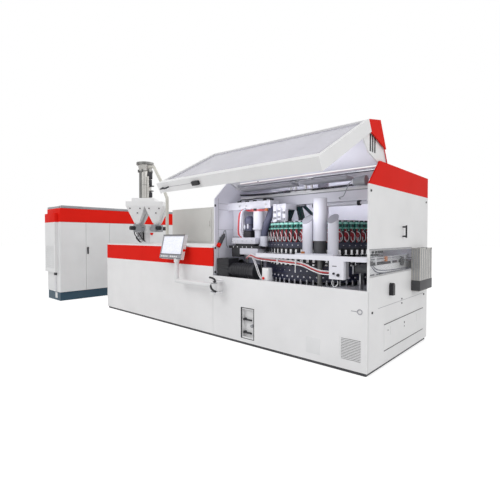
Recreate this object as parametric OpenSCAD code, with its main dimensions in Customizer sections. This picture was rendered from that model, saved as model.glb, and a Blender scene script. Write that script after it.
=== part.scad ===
// Cap compression moulding machine with its extruder counter, guard door and electrical cabinet.
// The frame has its origin on the floor at the middle of the machine base, +X towards the moulding end.
// Inside the modules, x runs from the extruder end, y from the front and z from the floor.

/* [Machine] */
// Length of the machine base
base_l = 5700; // [5500:10:6200]
// Depth of the machine base
base_w = 2030; // [2000:10:2300]
// Length of the extruder counter
counter_l = 3290; // [3200:10:3340]
// Height of the extruder counter
counter_h = 1353; // [1340:1:1390]
// Height of the moulding section
end_h = 2346; // [2300:1:2500]
// Height of the red bands
band_h = 280; // [240:1:300]
// Height of the sill below the guard door
sill_h = 920; // [900:1:930]
// Thickness of the covers
panel_t = 20; // [16:1:24]

/* [Guard door] */
// Angle at which the guard door stands open
door_open = 61; // [55:1:62]
// Distance of the hinge line from the machine front
hinge_y = 511; // [500:1:530]
// How far the lower edge of the door stands out in front of the machine
door_bulge = 117; // [105:1:130]
// Thickness of the door frame
door_t = 34; // [28:1:40]

/* [Carousel] */
// Number of moulding units on the carousel
unit_count = 64; // [56:1:64]
// Distance of the moulding units from the carousel axis
unit_ring_r = 800; // [780:1:810]
// Diameter of one lower mould
mould_d = 66; // [56:1:72]
// Number of pockets in the extraction star and in the dose wheel
pocket_count = 12; // [11:1:12]

/* [Dosing unit] */
// Widest radius of the hopper
hopper_r = 371; // [360:1:385]
// Height of the hopper plate above the floor
hopper_top = 2300; // [2260:1:2400]
// Diameter of the vacuum loader
loader_d = 250; // [220:1:260]

/* [Operator panel] */
// Width of the operator panel
panel_w = 580; // [540:1:600]
// Height of the operator panel
panel_h = 400; // [380:1:420]
// Reach of the swing arm
arm_reach = 880; // [840:1:900]

/* [Electrical cabinet] */
// Free way between the cabinet and the machine
cabinet_way = 1504; // [1400:1:1700]
// Depth of the cabinet
cabinet_d = 777; // [700:1:800]
// Width of the bay with the double door
bay_wide = 1200; // [1100:1:1300]
// Width of each further bay
bay_narrow = 1000; // [900:1:1100]
// Height of the cabinet without its lifting rails
cabinet_h = 2160; // [2100:1:2200]
// Height of the cabinet plinth
plinth_h = 200; // [150:1:220]

/* [Hidden] */
$fn = 48;

// Clearances
slip = 0.3;
seam = 4;
floor_gap = 38;
base_h = 90;

// Colours
white = [0.90, 0.90, 0.92];
grey = [0.72, 0.73, 0.74];
dark = [0.13, 0.13, 0.15];
red = [0.78, 0.07, 0.06];
steel = [0.66, 0.67, 0.68];
drum_blue = [0.10, 0.16, 0.30];
teal = [0.05, 0.36, 0.30];
clear = [0.80, 0.82, 0.92, 0.45];
plinth_blue = [0.11, 0.24, 0.32];

// Extruder counter
counter_x1 = counter_l - seam;
cover_top_z = counter_h - panel_t;
counter_band_z = cover_top_z - band_h;
throat_x = 480;
throat_y = 620;
throat_d = 180;
throat_wall = 20;
throat_play = 5;
barrel_z = 1060;
barrel_d = 170;
screw_d = 100;
screw_root_d = 68;
screw_nose = 10;
flight_w = 12;
flight_turns = 12;
screw_x0 = 262;
barrel_x1 = counter_l - 490;
heater_x0 = throat_x + 220;
heater_l = 240;
heater_pitch = 360;
heater_t = 25;
pump_l = 200;
pump_half = 150;
pump_foot_half = 60;
melt_pipe_d = 70;
melt_hole_d = 160;
riser_x = counter_l + 130;
gearbox_x0 = panel_t + 20;
gearbox_w = 440;
motor_d = 420;
motor_l = 760;
motor_z = 480;
motor_foot_inset = 120;
motor_foot_half = 120;
motor_foot_lap = 30;

// Service housing on the rear of the counter
housing_x0 = 60;
housing_x1 = counter_l - 20;
housing_y0 = base_w - 400;
housing_h = 2140;
housing_t = 15;
leaf_x0 = 190;
leaf_x1 = 1460;
leaf_z0 = counter_h + 47;
leaf_z1 = housing_h - 40;
leaf_lap = 10;
leaf_t = 16;
leaf_y0 = housing_y0 - leaf_t - slip;
service_hinges = [leaf_z0 + 120, leaf_z1 - 120];
service_hinge_h = 90;
service_hinge_w = 30;
service_hinge_gap = 10;
service_pin_d = 12;
service_pin_h = 80;
service_pin_out = 2;
latch_x0 = leaf_x1 - 70;
latch_w = 40;
latch_z0 = leaf_z0 + 320;
latch_h = 120;
latch_rise = 24;

// Dosing unit
feeder_z = hopper_top - 640;
mixer_half = 110;
mixer_h = 160;
bin_r = hopper_r / sqrt(2);
bin_lap = 3;
bin_h = 340;
bin_rim_h = 90;
bins_dx = 110;
tip_r = 70;
lid_h = 90;
lid_r = 330;
spout_d = 80;
flange_t = 20;
flange_over = 60;
feeder_d = 90;
feeder_box_half = 60;
feeder_motor_d = 80;
feeder_motor_l = 100;
feeder_motor_rise = 15;
loader_top = hopper_top + 580;
loader_cone_h = 140;
loader_cone_over = 30;
loader_cap_h = 50;
loader_cap_over = 55;
filter_d = 70;
filter_gap = 5;
filter_drop = 120;
suction_d = 50;
elbow_d = 60;
suction_z0 = loader_top + 100;
suction_bends = [[throat_x + 320, loader_top + 70], [throat_x + 560, loader_top - 240],
                 [throat_x + 780, loader_top - 620]];

// Moulding section
wall_x0 = counter_l - panel_t / 2;
chamber_x0 = wall_x0 + panel_t;
chamber_x1 = base_l - panel_t;
chamber_y1 = base_w - panel_t;
front_inset = 28;
band_z = end_h - band_h;
deck_z = sill_h - 40;
roof_y0 = hinge_y + 80;

// Niche with the two air valves and the ventilation grille
niche_x0 = counter_l + 580;
niche_w = 240;
niche_z0 = 100;
niche_h = 410;
niche_depth = 70;
niche_wall = 12;
lever_l = 135;
lever_boss_d = 36;
lever_t = 16;
lever_upper_z = niche_z0 + 250;
lever_lower_z = niche_z0 + 70;
lever_x = niche_x0 + niche_wall + 28;
grille_w = 262;
grille_h = 270;
grille_x0 = base_l - 60 - grille_w;
grille_z0 = 125;
slat_count = 14;
grille_y0 = 4;
grille_t = 12;
grille_rim = 14;
slat_gap = 5;
niche_y0 = 3;
niche_back = 10;
lever_y0 = 18;
lever_half = 11;

// Carousel
axis_x = chamber_x0 + 1250;
axis_y = base_w / 2 + 25;
unit_pitch = 2 * PI * unit_ring_r / unit_count;
drum_r = unit_ring_r + 34;
lower_drum_z = deck_z + 50;
lower_drum_h = 190;
mould_z = lower_drum_z + lower_drum_h;
mould_h = 130;
mould_top = mould_z + mould_h;
tool_gap = 25;
punch_z = mould_top + tool_gap;
punch_h = 80;
punch_d = 50;
upper_drum_z = punch_z + punch_h;
upper_drum_h = 75;
stem_z = upper_drum_z + upper_drum_h;
stem_h = 170;
stem_d = 30;
head_z = stem_z + stem_h;
head_h = 90;
head_d = 68;
loop_r = 28;
loop_tube_d = 14;
loop_out = 10;
loop_rise = 94;
shaft_d = 300;
shaft_foot = panel_t - 2;
shaft_play = 10;
bearing_d = 900;
gearcase_half = 260;
gearcase_z = deck_z - panel_t - 320;
drive_motor_d = 320;
cam_r = 600;
cam_z = head_z + 80;
cam_h = 40;
union_d = 160;
header_z = 1955;
header_h = 165;
feed_hose_d = 46;
feed_y = roof_y0 + 50;
feed_cup_d = 52;
feed_foot_d = 62;
feed_cup_h = 40;
feed_runs = [[-289, -373], [-235, -319], [-185, -127], [-131, -73], [-77, 138]];

// Extraction star and dose wheel, which share the pitch of the carousel
pocket_ring_r = pocket_count * unit_pitch / (2 * PI);
pocket_d = 52;
wheel_t = 14;
wheel_rim = 10;
wheel_z = mould_top + (tool_gap - wheel_t) / 2;
centre_gap = unit_ring_r + pocket_ring_r;
star_dx = 450;
star_x = axis_x + star_dx;
star_y = axis_y - sqrt(centre_gap * centre_gap - star_dx * star_dx);
wheel_dx = -880;
wheel_x = axis_x + wheel_dx;
wheel_y = axis_y - sqrt(centre_gap * centre_gap - wheel_dx * wheel_dx);
wheel_shaft_d = 60;
wheel_foot_d = 180;
cutter_z = wheel_z + wheel_t + 40;
cutter_h = 190;
cutter_half = 110;
cutter_cap_h = 20;
duct_box_z = 1905;
duct_box_h = 110;
duct_box_y = 310;
duct_box_w = 220;

// Pieces in front of the carousel
rail_y0 = -15;
rail_w = 50;
rail_h = 54;
rail_z = mould_top - 22;
rail_x0 = axis_x - 400;
column_d = 170;
column_foot_d = 130;
column_z = wheel_z + wheel_t + 180;
column_h = 520;
foot_gap = 8;
tube_d = 126;
tube_h = 490;
tubes_dx = [-135, 215];
tube_cut = 40;
tube_cut_z = 430;
tube_y = star_y - 65;
bridge_t = 16;
bridge_z = rail_z + rail_h;
bridge_over = 80;
bridge_y1 = star_y - 20;
box_w = 180;
box_h = 206;
box_x0 = base_l - 450;
drive_x0 = chamber_x0 + 40;
drive_l = 700;
drive_d = 220;
drive_y = 150;
drive_gear_l = 240;
drive_gear_h = 300;
drive_rise = 20;
drive_foot_w = 50;
drive_foot_half = 80;
drive_foot_h = 60;

// Outfeed conveyor along the end wall
belt_w = 150;
belt_x0 = chamber_x1 - 45 - belt_w;
belt_t = 4;
roller_d = 80;
roller_z = 1136;
roller_y0 = 190;
roller_y1 = base_w - 220;
axle_d = 20;
side_t = 15;
side_gap = 8;
side_h = 95;
guide_d = 14;
guide_rise = 45;
guide_post_d = 10;
side_over = 60;
side_leg_w = 80;
side_leg_in = 120;
bed_t = 10;
axle_over = 4;
roller_over = 2;
window_y0 = 60;
window_y1 = base_w - 180;
window_z0 = 1075;
window_z1 = 1345;
window_lap = 15;
window_guard_t = 6;
outfeed_y0 = base_w - 680;
outfeed_x = 110;
outfeed_wall = 6;
outfeed_drop = 190;
chute_d = 90;
chute_w = 355;
chute_in = 40;
chute_h = 110;

// Fittings of the end wall
hatch_y0 = 450;
hatch_y1 = base_w - 230;
hatch_z0 = 191;
hatch_z1 = 487;
hatch_t = 3;
hatch_slots_y = [632, base_w - 465];
hatch_slot_w = 28;
hatch_slot_z = 335;
hatch_slot_h = 108;
pull_y = base_w / 2 + 6;
pull_z = 1508;
pull_h = 117;
pull_d = 20;
pull_rise = 45;
screw_places = [[67, 1994], [base_w - 80, 1998], [base_w - 149, 680], [118, 677]];
screw_head_d = 26;
screw_head_t = 8;
lock_y = 620;
lock_z = 813;
lock_w = 60;
lock_h = 117;
lock_depth = 50;

// Guard door in its closed place, seen from the end as y and z
hinge_z = end_h - 47;
hinge_d = 40;
hinge_eye_d = 108;
door_x0 = counter_l;
door_x1 = base_l;
plate_t = 16;
plate_gap = 8;
door_z0 = sill_h + 10;
door_band_z = band_z + 4;
door_top_z = end_h + 16;
fascia_t = 12;
edge_band = [-door_bulge, door_band_z];
edge_top = [-door_bulge + 95, door_top_z];
plate_y1 = front_inset - plate_gap;
beam_d = 130;
beam_h = 70;
stile_w = 30;
pane_t = 8;
top_y1 = hinge_y - 31;
arm_inset = 10;
arm_t = 16;
slot_w = 38;
slot_h = 190;
slot_z = end_h + 75;
slot_pitch = 58;
slot_y = 170;
grip_x0 = door_x0 + 110;
grip_l = 110;
grip_d = 18;
grip_rise = 45;
bolt_x0 = door_x0 + 705;
bolt_l = 116;
bolt_half = 25;
bolt_h = 30;
arm_root_z = door_band_z - 170;
arm_waist = [hinge_y - 311, door_band_z - 106];
arm_neck = [hinge_y - 20, hinge_z - 50];
arm_root_y = hinge_y - 511;
arm_corner = 16;

// Operator panel
arm_y = -140;
arm_d = 70;
arm_z = 795;
pivot_x = counter_l + 175;
pivot_d = 90;
pivot_z0 = 700;
pivot_z1 = 840;
pivot_play = 1;
pivot_pin_d = 30;
lug_t = 25;
lug_half = 45;
post_x = pivot_x - arm_reach;
post_top = 1090;
post_pin_h = 30;
hub_h = 60;
hub_lap = 15;
screen_tilt = 13;
screen_depth = 60;
screen_rim = 25;
screen_low = 75;
screen_sink = 6;
screen_centre_x = post_x - 150;

// Electrical cabinet, with its doors facing the machine
cabinet_x1 = -cabinet_way;
cabinet_x0 = cabinet_x1 - cabinet_d;
cabinet_y0 = -379;
cabinet_y1 = cabinet_y0 + bay_wide + 2 * bay_narrow;
bay_lines = [cabinet_y0 + bay_wide, cabinet_y0 + bay_wide + bay_narrow];
cabinet_t = 25;
leaf_depth = 25;
carcass_x1 = cabinet_x1 - leaf_depth - slip;
fascia_z = cabinet_h - 320;
cabinet_leaf_z0 = plinth_h + 6;
cabinet_leaf_z1 = fascia_z - 5;
leaf_seam = 3;
cabinet_rail_h = 60;
handle_z = 1160;
handle_h = 170;
handle_boss_d = 40;
switch_y = cabinet_y1 - 760;
switch_z = 1587;
switch_d = 90;
duct_w = 220;
duct_h = 150;
duct_y0 = base_w - 430;
plinth_in = 10;
rail_in = 20;
rail_bar_w = 60;
handle_in = 60;
handle_half = 16;
handle_rise = 18;
swing_in = 40;
swing_boss_in = 25;
swing_rise = 8;
switch_t = 16;
switch_grip_half = 12;
switch_grip_l = 76;
switch_grip_rise = 28;
cooler_x0 = cabinet_x0 + 50;
cooler_x1 = cabinet_x1 - 107;
cooler_t = 75;
cooler_z0 = 660;
cooler_z1 = 2040;
cooler_rim = 72;
louvre_count = 12;
louvre_z0 = cooler_z0 + 100;
louvre_pitch = 45;
louvre_h = 20;
louvre_depth = 15;
gear_rows = 4;
gear_columns = 4;
gear_plate_t = 20;
gear_in = 80;
gear_rise = 150;
gear_w = 150;
gear_h = 260;
gear_depth = 200;
gear_pitch_y = 190;
gear_first_y = 130;
gear_first_z = 250;
gear_room = cabinet_h - plinth_h - gear_first_z - gear_rise - gear_h;
gear_pitch_z = gear_room / (gear_rows - 1);

module placed() {
    translate([-base_l / 2, -base_w / 2, 0]) children();
}

module block(low, high) {
    translate(low) cube(high - low);
}

module rod_x(x0, x1, y, z, d) {
    translate([x0, y, z]) rotate([0, 90, 0]) cylinder(d = d, h = x1 - x0);
}

module rod_y(x, y0, y1, z, d) {
    translate([x, y1, z]) rotate([90, 0, 0]) cylinder(d = d, h = y1 - y0);
}

module rod_z(x, y, z0, z1, d) {
    translate([x, y, z0]) cylinder(d = d, h = z1 - z0);
}

// A plate with an outline given in y and z
module side_plate(x0, x1, outline) {
    translate([x0, 0, 0]) rotate([90, 0, 90]) linear_extrude(x1 - x0) polygon(outline);
}

// A straight tube between two points
module link(from, to, d) {
    run = to - from;
    turn_z = atan2(run[1], run[0]);
    turn_y = acos(run[2] / norm(run));
    translate(from) rotate([0, turn_y, turn_z]) cylinder(d = d, h = norm(run));
}

module around_carousel(r) {
    for (i = [0 : unit_count - 1])
        translate([axis_x, axis_y, 0]) rotate(i * 360 / unit_count) translate([r, 0, 0]) children();
}

module base_bed() {
    color(dark) placed() block([panel_t, panel_t, 0], [base_l - panel_t, base_w - panel_t, base_h]);
}

module extruder_covers() {
    color(white) placed() {
        block([0, 0, floor_gap], [counter_x1, panel_t, counter_band_z]);
        block([0, panel_t + seam, floor_gap], [panel_t, base_w, cover_top_z]);
        block([panel_t + seam, base_w - panel_t, floor_gap], [counter_x1, base_w, cover_top_z]);
        difference() {
            block([0, 0, cover_top_z], [wall_x0 - seam, base_w, counter_h]);
            rod_z(throat_x, throat_y, cover_top_z - 1, counter_h + 1, throat_d + 2 * throat_play);
        }
    }
}

module counter_band() {
    color(red) placed() block([0, 0, counter_band_z], [counter_x1, panel_t, cover_top_z]);
}

module extruder_barrel() {
    pump_x1 = barrel_x1 + pump_l;
    pump_x = barrel_x1 + pump_l / 2;
    color(steel) placed() {
        difference() {
            union() {
                rod_x(screw_x0, barrel_x1, throat_y, barrel_z, barrel_d);
                for (x = [heater_x0 : heater_pitch : barrel_x1 - heater_l])
                    rod_x(x, x + heater_l, throat_y, barrel_z, barrel_d + 2 * heater_t);
                rod_z(throat_x, throat_y, barrel_z, counter_h, throat_d);
            }
            rod_x(screw_x0 - 1, barrel_x1 + 1, throat_y, barrel_z, screw_d + 2 * slip);
            rod_z(throat_x, throat_y, barrel_z, counter_h + 1, throat_d - 2 * throat_wall);
        }
        block([barrel_x1, throat_y - pump_half, barrel_z - pump_half],
              [pump_x1, throat_y + pump_half, barrel_z + pump_half]);
        block([pump_x - pump_foot_half, throat_y - pump_foot_half, base_h],
              [pump_x + pump_foot_half, throat_y + pump_foot_half, barrel_z - pump_half]);
        rod_x(pump_x1, riser_x, throat_y, barrel_z, melt_pipe_d);
        translate([riser_x, throat_y, barrel_z]) sphere(d = melt_pipe_d);
        rod_z(riser_x, throat_y, barrel_z, cutter_z, melt_pipe_d);
    }
}

module extruder_drive() {
    color(grey) placed() {
        block([gearbox_x0, throat_y - gearbox_w / 2, base_h],
              [screw_x0, throat_y + gearbox_w / 2, barrel_z + gearbox_w / 2]);
        rod_x(screw_x0, screw_x0 + motor_l, throat_y, motor_z, motor_d);
        block([screw_x0 + motor_foot_inset, throat_y - motor_foot_half, base_h],
              [screw_x0 + motor_l - motor_foot_inset, throat_y + motor_foot_half,
               motor_z - motor_d / 2 + motor_foot_lap]);
    }
}

module extruder_screw() {
    screw_l = barrel_x1 - screw_x0 - screw_nose;
    color(steel) placed() translate([screw_x0 + slip, throat_y, barrel_z]) rotate([0, 90, 0]) {
        cylinder(d = screw_root_d, h = screw_l);
        linear_extrude(screw_l, twist = -360 * flight_turns, slices = 8 * flight_turns, $fn = 4)
            translate([0, -flight_w / 2]) square([screw_d / 2 - slip, flight_w]);
    }
}

module service_housing() {
    color(grey) placed() {
        difference() {
            block([housing_x0, housing_y0, counter_h], [housing_x1, base_w, housing_h]);
            block([housing_x0 + housing_t, housing_y0 + housing_t, counter_h + housing_t],
                  [housing_x1 - housing_t, base_w - housing_t, housing_h - housing_t]);
            block([leaf_x0 + leaf_lap, housing_y0 - 1, leaf_z0 + leaf_lap],
                  [leaf_x1 - leaf_lap, housing_y0 + housing_t + 1, leaf_z1 - leaf_lap]);
        }
        for (z = service_hinges)
            translate([leaf_x0 - service_hinge_gap, 0, z])
                block([-service_hinge_w, leaf_y0, -service_hinge_h / 2],
                      [0, housing_y0, service_hinge_h / 2]);
    }
}

module service_door() {
    color(grey) placed() {
        block([leaf_x0, leaf_y0, leaf_z0], [leaf_x1, leaf_y0 + leaf_t, leaf_z1]);
        block([latch_x0, leaf_y0 - latch_rise, latch_z0], [latch_x0 + latch_w, leaf_y0, latch_z0 + latch_h]);
        for (z = service_hinges)
            rod_z(leaf_x0 - service_pin_out, leaf_y0 - service_pin_out,
                  z - service_pin_h / 2, z + service_pin_h / 2, service_pin_d);
    }
}

module moulding_front_cover() {
    lug_z0 = pivot_z0 - pivot_play - lug_t;
    lug_z1 = pivot_z1 + pivot_play + lug_t;
    color(white) placed() {
        difference() {
            block([counter_l, 0, floor_gap], [base_l, panel_t, sill_h]);
            block([niche_x0, -1, niche_z0], [niche_x0 + niche_w, panel_t + 1, niche_z0 + niche_h]);
            block([grille_x0, -1, grille_z0], [grille_x0 + grille_w, panel_t + 1, grille_z0 + grille_h]);
        }
        for (z = [lug_z0, lug_z1 - lug_t])
            block([pivot_x - lug_half, arm_y - lug_half, z], [pivot_x + lug_half, 0, z + lug_t]);
        rod_z(pivot_x, arm_y, lug_z0, lug_z1, pivot_pin_d);
    }
}

module front_inserts() {
    niche_x1 = niche_x0 + niche_w;
    niche_z1 = niche_z0 + niche_h;
    slat_pitch = (grille_h - 2 * grille_rim) / slat_count;
    grille_x1 = grille_x0 + grille_w;
    grille_y1 = grille_y0 + grille_t;
    color(white) placed() {
        difference() {
            block([niche_x0, niche_y0, niche_z0], [niche_x1, niche_depth, niche_z1]);
            block([niche_x0 + niche_wall, niche_y0 - 1, niche_z0 + niche_wall],
                  [niche_x1 - niche_wall, niche_depth - niche_back, niche_z1 - niche_wall]);
        }
        difference() {
            block([grille_x0, grille_y0, grille_z0], [grille_x1, grille_y1, grille_z0 + grille_h]);
            for (i = [0 : slat_count - 1])
                translate([0, 0, grille_z0 + grille_rim + i * slat_pitch])
                    block([grille_x0 + grille_rim, grille_y0 - 1, slat_gap],
                          [grille_x1 - grille_rim, grille_y1 + 1, slat_pitch - slat_gap]);
        }
    }
}

module niche_lever(z) {
    color(dark) placed() {
        rod_y(lever_x, lever_y0, niche_depth - niche_back - slip, z, lever_boss_d);
        block([lever_x, lever_y0, z - lever_half], [lever_x + lever_l, lever_y0 + lever_t, z + lever_half]);
    }
}

module niche_lever_upper() {
    niche_lever(lever_upper_z);
}

module niche_lever_lower() {
    niche_lever(lever_lower_z);
}

module deck() {
    color(grey) placed() difference() {
        block([chamber_x0, panel_t, deck_z - panel_t], [chamber_x1, chamber_y1, deck_z]);
        rod_z(axis_x, axis_y, deck_z - panel_t - 1, deck_z + 1, shaft_d + 2 * shaft_play);
    }
}

module partition() {
    color(white) placed() difference() {
        side_plate(wall_x0, chamber_x0, [
            [front_inset, base_h], [chamber_y1, base_h], [chamber_y1, end_h],
            [front_inset + band_h, end_h], [front_inset, band_z]
        ]);
        rod_x(wall_x0 - 1, chamber_x0 + 1, throat_y, barrel_z, melt_hole_d);
    }
}

module end_wall() {
    color(white) placed() {
        difference() {
            block([chamber_x1, front_inset, floor_gap], [base_l, base_w, band_z]);
            block([chamber_x1 - 1, window_y0, window_z0], [base_l + 1, window_y1, window_z1]);
        }
        difference() {
            block([base_l, hatch_y0, hatch_z0], [base_l + hatch_t, hatch_y1, hatch_z1]);
            for (y = hatch_slots_y)
                block([base_l - 1, y - hatch_slot_w / 2, hatch_slot_z],
                      [base_l + hatch_t + 1, y + hatch_slot_w / 2, hatch_slot_z + hatch_slot_h]);
        }
    }
}

module end_band() {
    color(red) placed() side_plate(chamber_x1, base_l, [
        [front_inset, band_z], [base_w, band_z], [base_w, end_h], [front_inset + band_h, end_h]
    ]);
}

module end_fittings() {
    color(dark) placed() {
        for (z = [pull_z, pull_z + pull_h])
            rod_x(base_l, base_l + pull_rise, pull_y, z, pull_d);
        rod_z(base_l + pull_rise, pull_y, pull_z - pull_d, pull_z + pull_h + pull_d, pull_d);
        for (p = screw_places)
            rod_x(base_l, base_l + screw_head_t, p[0], p[1], screw_head_d);
        block([base_l, lock_y - lock_w / 2, lock_z],
              [base_l + lock_depth, lock_y + lock_w / 2, lock_z + lock_h]);
        rod_x(base_l, base_l + lock_depth, lock_y, lock_z + lock_h, lock_w - 4);
    }
}

module rear_wall() {
    color(white) placed() block([counter_l, chamber_y1, floor_gap], [chamber_x1, base_w, end_h - panel_t]);
}

module roof() {
    roof_z = end_h - panel_t;
    roof_beam_h = 100;
    roof_beam_w = 110;
    color(white) placed() {
        block([chamber_x0, roof_y0, roof_z], [chamber_x1, base_w, end_h]);
        block([chamber_x0, roof_y0, roof_z - roof_beam_h], [chamber_x1, roof_y0 + roof_beam_w, roof_z]);
        block([chamber_x0, roof_y0, header_z], [chamber_x1, roof_y0 + roof_beam_w, header_z + header_h]);
        rod_z(axis_x, axis_y, cam_z, cam_z + cam_h, 2 * cam_r);
        rod_z(axis_x, axis_y, cam_z + cam_h - 1, roof_z + 1, union_d);
    }
}

module hinge_shaft() {
    color(steel) placed() rod_x(chamber_x0, chamber_x1, hinge_y, hinge_z, hinge_d);
}

module front_rail() {
    color(white) placed() {
        block([rail_x0, rail_y0, rail_z], [chamber_x1, rail_y0 + rail_w, rail_z + rail_h]);
        block([box_x0, rail_y0, rail_z - box_h], [box_x0 + box_w, rail_y0 + rail_w, rail_z]);
    }
}

module extraction_column() {
    cut_half = 200;
    color(white) placed() {
        rod_z(star_x, star_y, column_z, column_z + column_h, column_d);
        rod_z(star_x, star_y, wheel_z + wheel_t + foot_gap, column_z, column_foot_d);
        block([star_x + tubes_dx[0] - bridge_over, rail_y0, bridge_z],
              [star_x + tubes_dx[1] + bridge_over, bridge_y1, bridge_z + bridge_t]);
        for (dx = tubes_dx)
            difference() {
                rod_z(star_x + dx, tube_y, bridge_z + bridge_t, bridge_z + tube_h, tube_d);
                translate([star_x + dx, tube_y, bridge_z + tube_cut_z]) rotate([tube_cut, 0, 0])
                    block([-cut_half, -cut_half, 0], [cut_half, cut_half, cut_half]);
            }
    }
}

module inserter_motor() {
    gear_x1 = drive_x0 + drive_gear_l;
    color(dark) placed() {
        block([drive_x0, drive_y - drive_d / 2, deck_z],
              [gear_x1, drive_y + drive_d / 2, deck_z + drive_gear_h]);
        rod_x(gear_x1, drive_x0 + drive_l, drive_y, deck_z + drive_d / 2 + drive_rise, drive_d);
        for (x = [gear_x1 + drive_foot_h, drive_x0 + drive_l - 2 * drive_foot_h])
            block([x, drive_y - drive_foot_half, deck_z],
                  [x + drive_foot_w, drive_y + drive_foot_half, deck_z + drive_foot_h]);
    }
}

module inserter_housing() {
    cutter_top = cutter_z + cutter_h;
    duct_box_x1 = axis_x - drum_r / 2;
    duct_box_y1 = duct_box_y + duct_box_w;
    color(white) placed() {
        rod_z(wheel_x, wheel_y, wheel_z + wheel_t + foot_gap, cutter_top + cutter_cap_h, wheel_foot_d);
        block([chamber_x0, wheel_y - cutter_half, cutter_z], [wheel_x, wheel_y + cutter_half, cutter_top]);
        block([chamber_x0, duct_box_y, duct_box_z], [duct_box_x1, duct_box_y1, duct_box_z + duct_box_h]);
        block([chamber_x0, duct_box_y1 - duct_box_w / 2, cutter_top],
              [chamber_x0 + duct_box_w, duct_box_y1, duct_box_z]);
    }
}

module carousel_drive() {
    color(steel) placed() {
        difference() {
            rod_z(axis_x, axis_y, deck_z, lower_drum_z - slip, bearing_d);
            rod_z(axis_x, axis_y, deck_z - 1, lower_drum_z + 1, shaft_d + 2 * slip);
        }
        block([axis_x - gearcase_half, axis_y - gearcase_half, gearcase_z],
              [axis_x + gearcase_half, axis_y + gearcase_half, deck_z - panel_t]);
        rod_z(axis_x, axis_y, base_h, gearcase_z, drive_motor_d);
    }
}

module conveyor_frame() {
    sides = [belt_x0 - side_gap - side_t, belt_x0 + belt_w + side_gap];
    side_top = roller_z + roller_d / 2;
    color(steel) placed() {
        for (x = sides) {
            difference() {
                union() {
                    block([x, roller_y0 - side_over, side_top - side_h],
                          [x + side_t, roller_y1 + side_over, side_top + slip]);
                    for (y = [roller_y0 + side_leg_in, roller_y1 - side_leg_in - side_leg_w])
                        block([x, y, deck_z], [x + side_t, y + side_leg_w, side_top - side_h]);
                }
                for (y = [roller_y0, roller_y1])
                    rod_x(x - 1, x + side_t + 1, y, roller_z, axle_d + 2 * slip);
            }
            for (y = [roller_y0, (roller_y0 + roller_y1) / 2, roller_y1])
                rod_z(x + side_t / 2, y, side_top, side_top + guide_rise, guide_post_d);
            rod_y(x + side_t / 2, roller_y0 - side_over, roller_y1 + side_over,
                  side_top + guide_rise, guide_d);
        }
        block([sides[0], roller_y0 + side_over, side_top + slip - bed_t],
              [sides[1], roller_y1 - side_over, side_top + slip]);
    }
}

module belt_outline(r) {
    for (y = [roller_y0, roller_y1])
        translate([y, roller_z]) circle(r);
    translate([roller_y0, roller_z - r]) square([roller_y1 - roller_y0, 2 * r]);
}

module conveyor_belt() {
    color(dark) placed() translate([belt_x0, 0, 0]) rotate([90, 0, 90]) linear_extrude(belt_w) difference() {
        belt_outline(roller_d / 2 + slip + belt_t);
        belt_outline(roller_d / 2 + slip);
    }
}

module conveyor_roller(y) {
    axle_out = side_gap + side_t + axle_over;
    color(steel) placed() {
        rod_x(belt_x0 - roller_over, belt_x0 + belt_w + roller_over, y, roller_z, roller_d);
        rod_x(belt_x0 - axle_out, belt_x0 + belt_w + axle_out, y, roller_z, axle_d);
    }
}

module conveyor_roller_front() {
    conveyor_roller(roller_y0);
}

module conveyor_roller_rear() {
    conveyor_roller(roller_y1);
}

module window_guard() {
    color(clear) placed() block([base_l, window_y0 - window_lap, window_z0 - window_lap],
                                [base_l + window_guard_t, outfeed_y0 - roller_over, window_z1 + window_lap]);
}

module outfeed_box() {
    x1 = base_l + outfeed_x;
    y1 = window_y1 + window_lap;
    z0 = window_z0 - outfeed_drop;
    z1 = window_z1 + outfeed_wall;
    chute_y0 = outfeed_y0 + chute_in;
    chute_y1 = chute_y0 + chute_w;
    color(grey) placed() difference() {
        union() {
            block([base_l, outfeed_y0, z0], [x1, y1, z1]);
            block([base_l, chute_y0, z0 - chute_h], [base_l + chute_d, chute_y1, z0]);
        }
        block([base_l - 1, outfeed_y0 + outfeed_wall, z0 + outfeed_wall],
              [x1 - outfeed_wall, y1 - outfeed_wall, z1 - outfeed_wall]);
        block([base_l + outfeed_wall, chute_y0 + outfeed_wall, z0 - chute_h - 1],
              [base_l + chute_d - outfeed_wall, chute_y1 - outfeed_wall, z0 + outfeed_wall + 1]);
    }
}

// Four tapered bins under one rim, on a square whose corners point along the machine and across it
module hopper_bins() {
    bin_top = hopper_top - lid_h;
    rim_z = bin_top - bin_rim_h;
    tip_z = rim_z - bin_h;
    color(white) placed() translate([throat_x, throat_y, 0]) {
        translate([bins_dx, 0, 0]) {
            for (a = [0 : 90 : 270])
                rotate(a) translate([bin_r, 0, 0]) {
                    translate([0, 0, tip_z])
                        cylinder(r1 = tip_r, r2 = bin_r + bin_lap, h = bin_h + 1, $fn = 4);
                    rod_z(0, 0, feeder_z + feeder_d, tip_z + 1, spout_d);
                }
            translate([0, 0, rim_z]) cylinder(r = 2 * bin_r + bin_lap, h = bin_rim_h, $fn = 4);
            block([-mixer_half, -mixer_half, feeder_z - mixer_h / 2],
                  [mixer_half, mixer_half, feeder_z + mixer_h / 2]);
        }
        translate([0, 0, bin_top]) cylinder(r = lid_r, h = lid_h, $fn = 4);
        rod_z(0, 0, counter_h, feeder_z - mixer_h / 2 + 1, throat_d);
        rod_z(0, 0, counter_h, counter_h + flange_t, throat_d + 2 * flange_over);
    }
}

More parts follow.
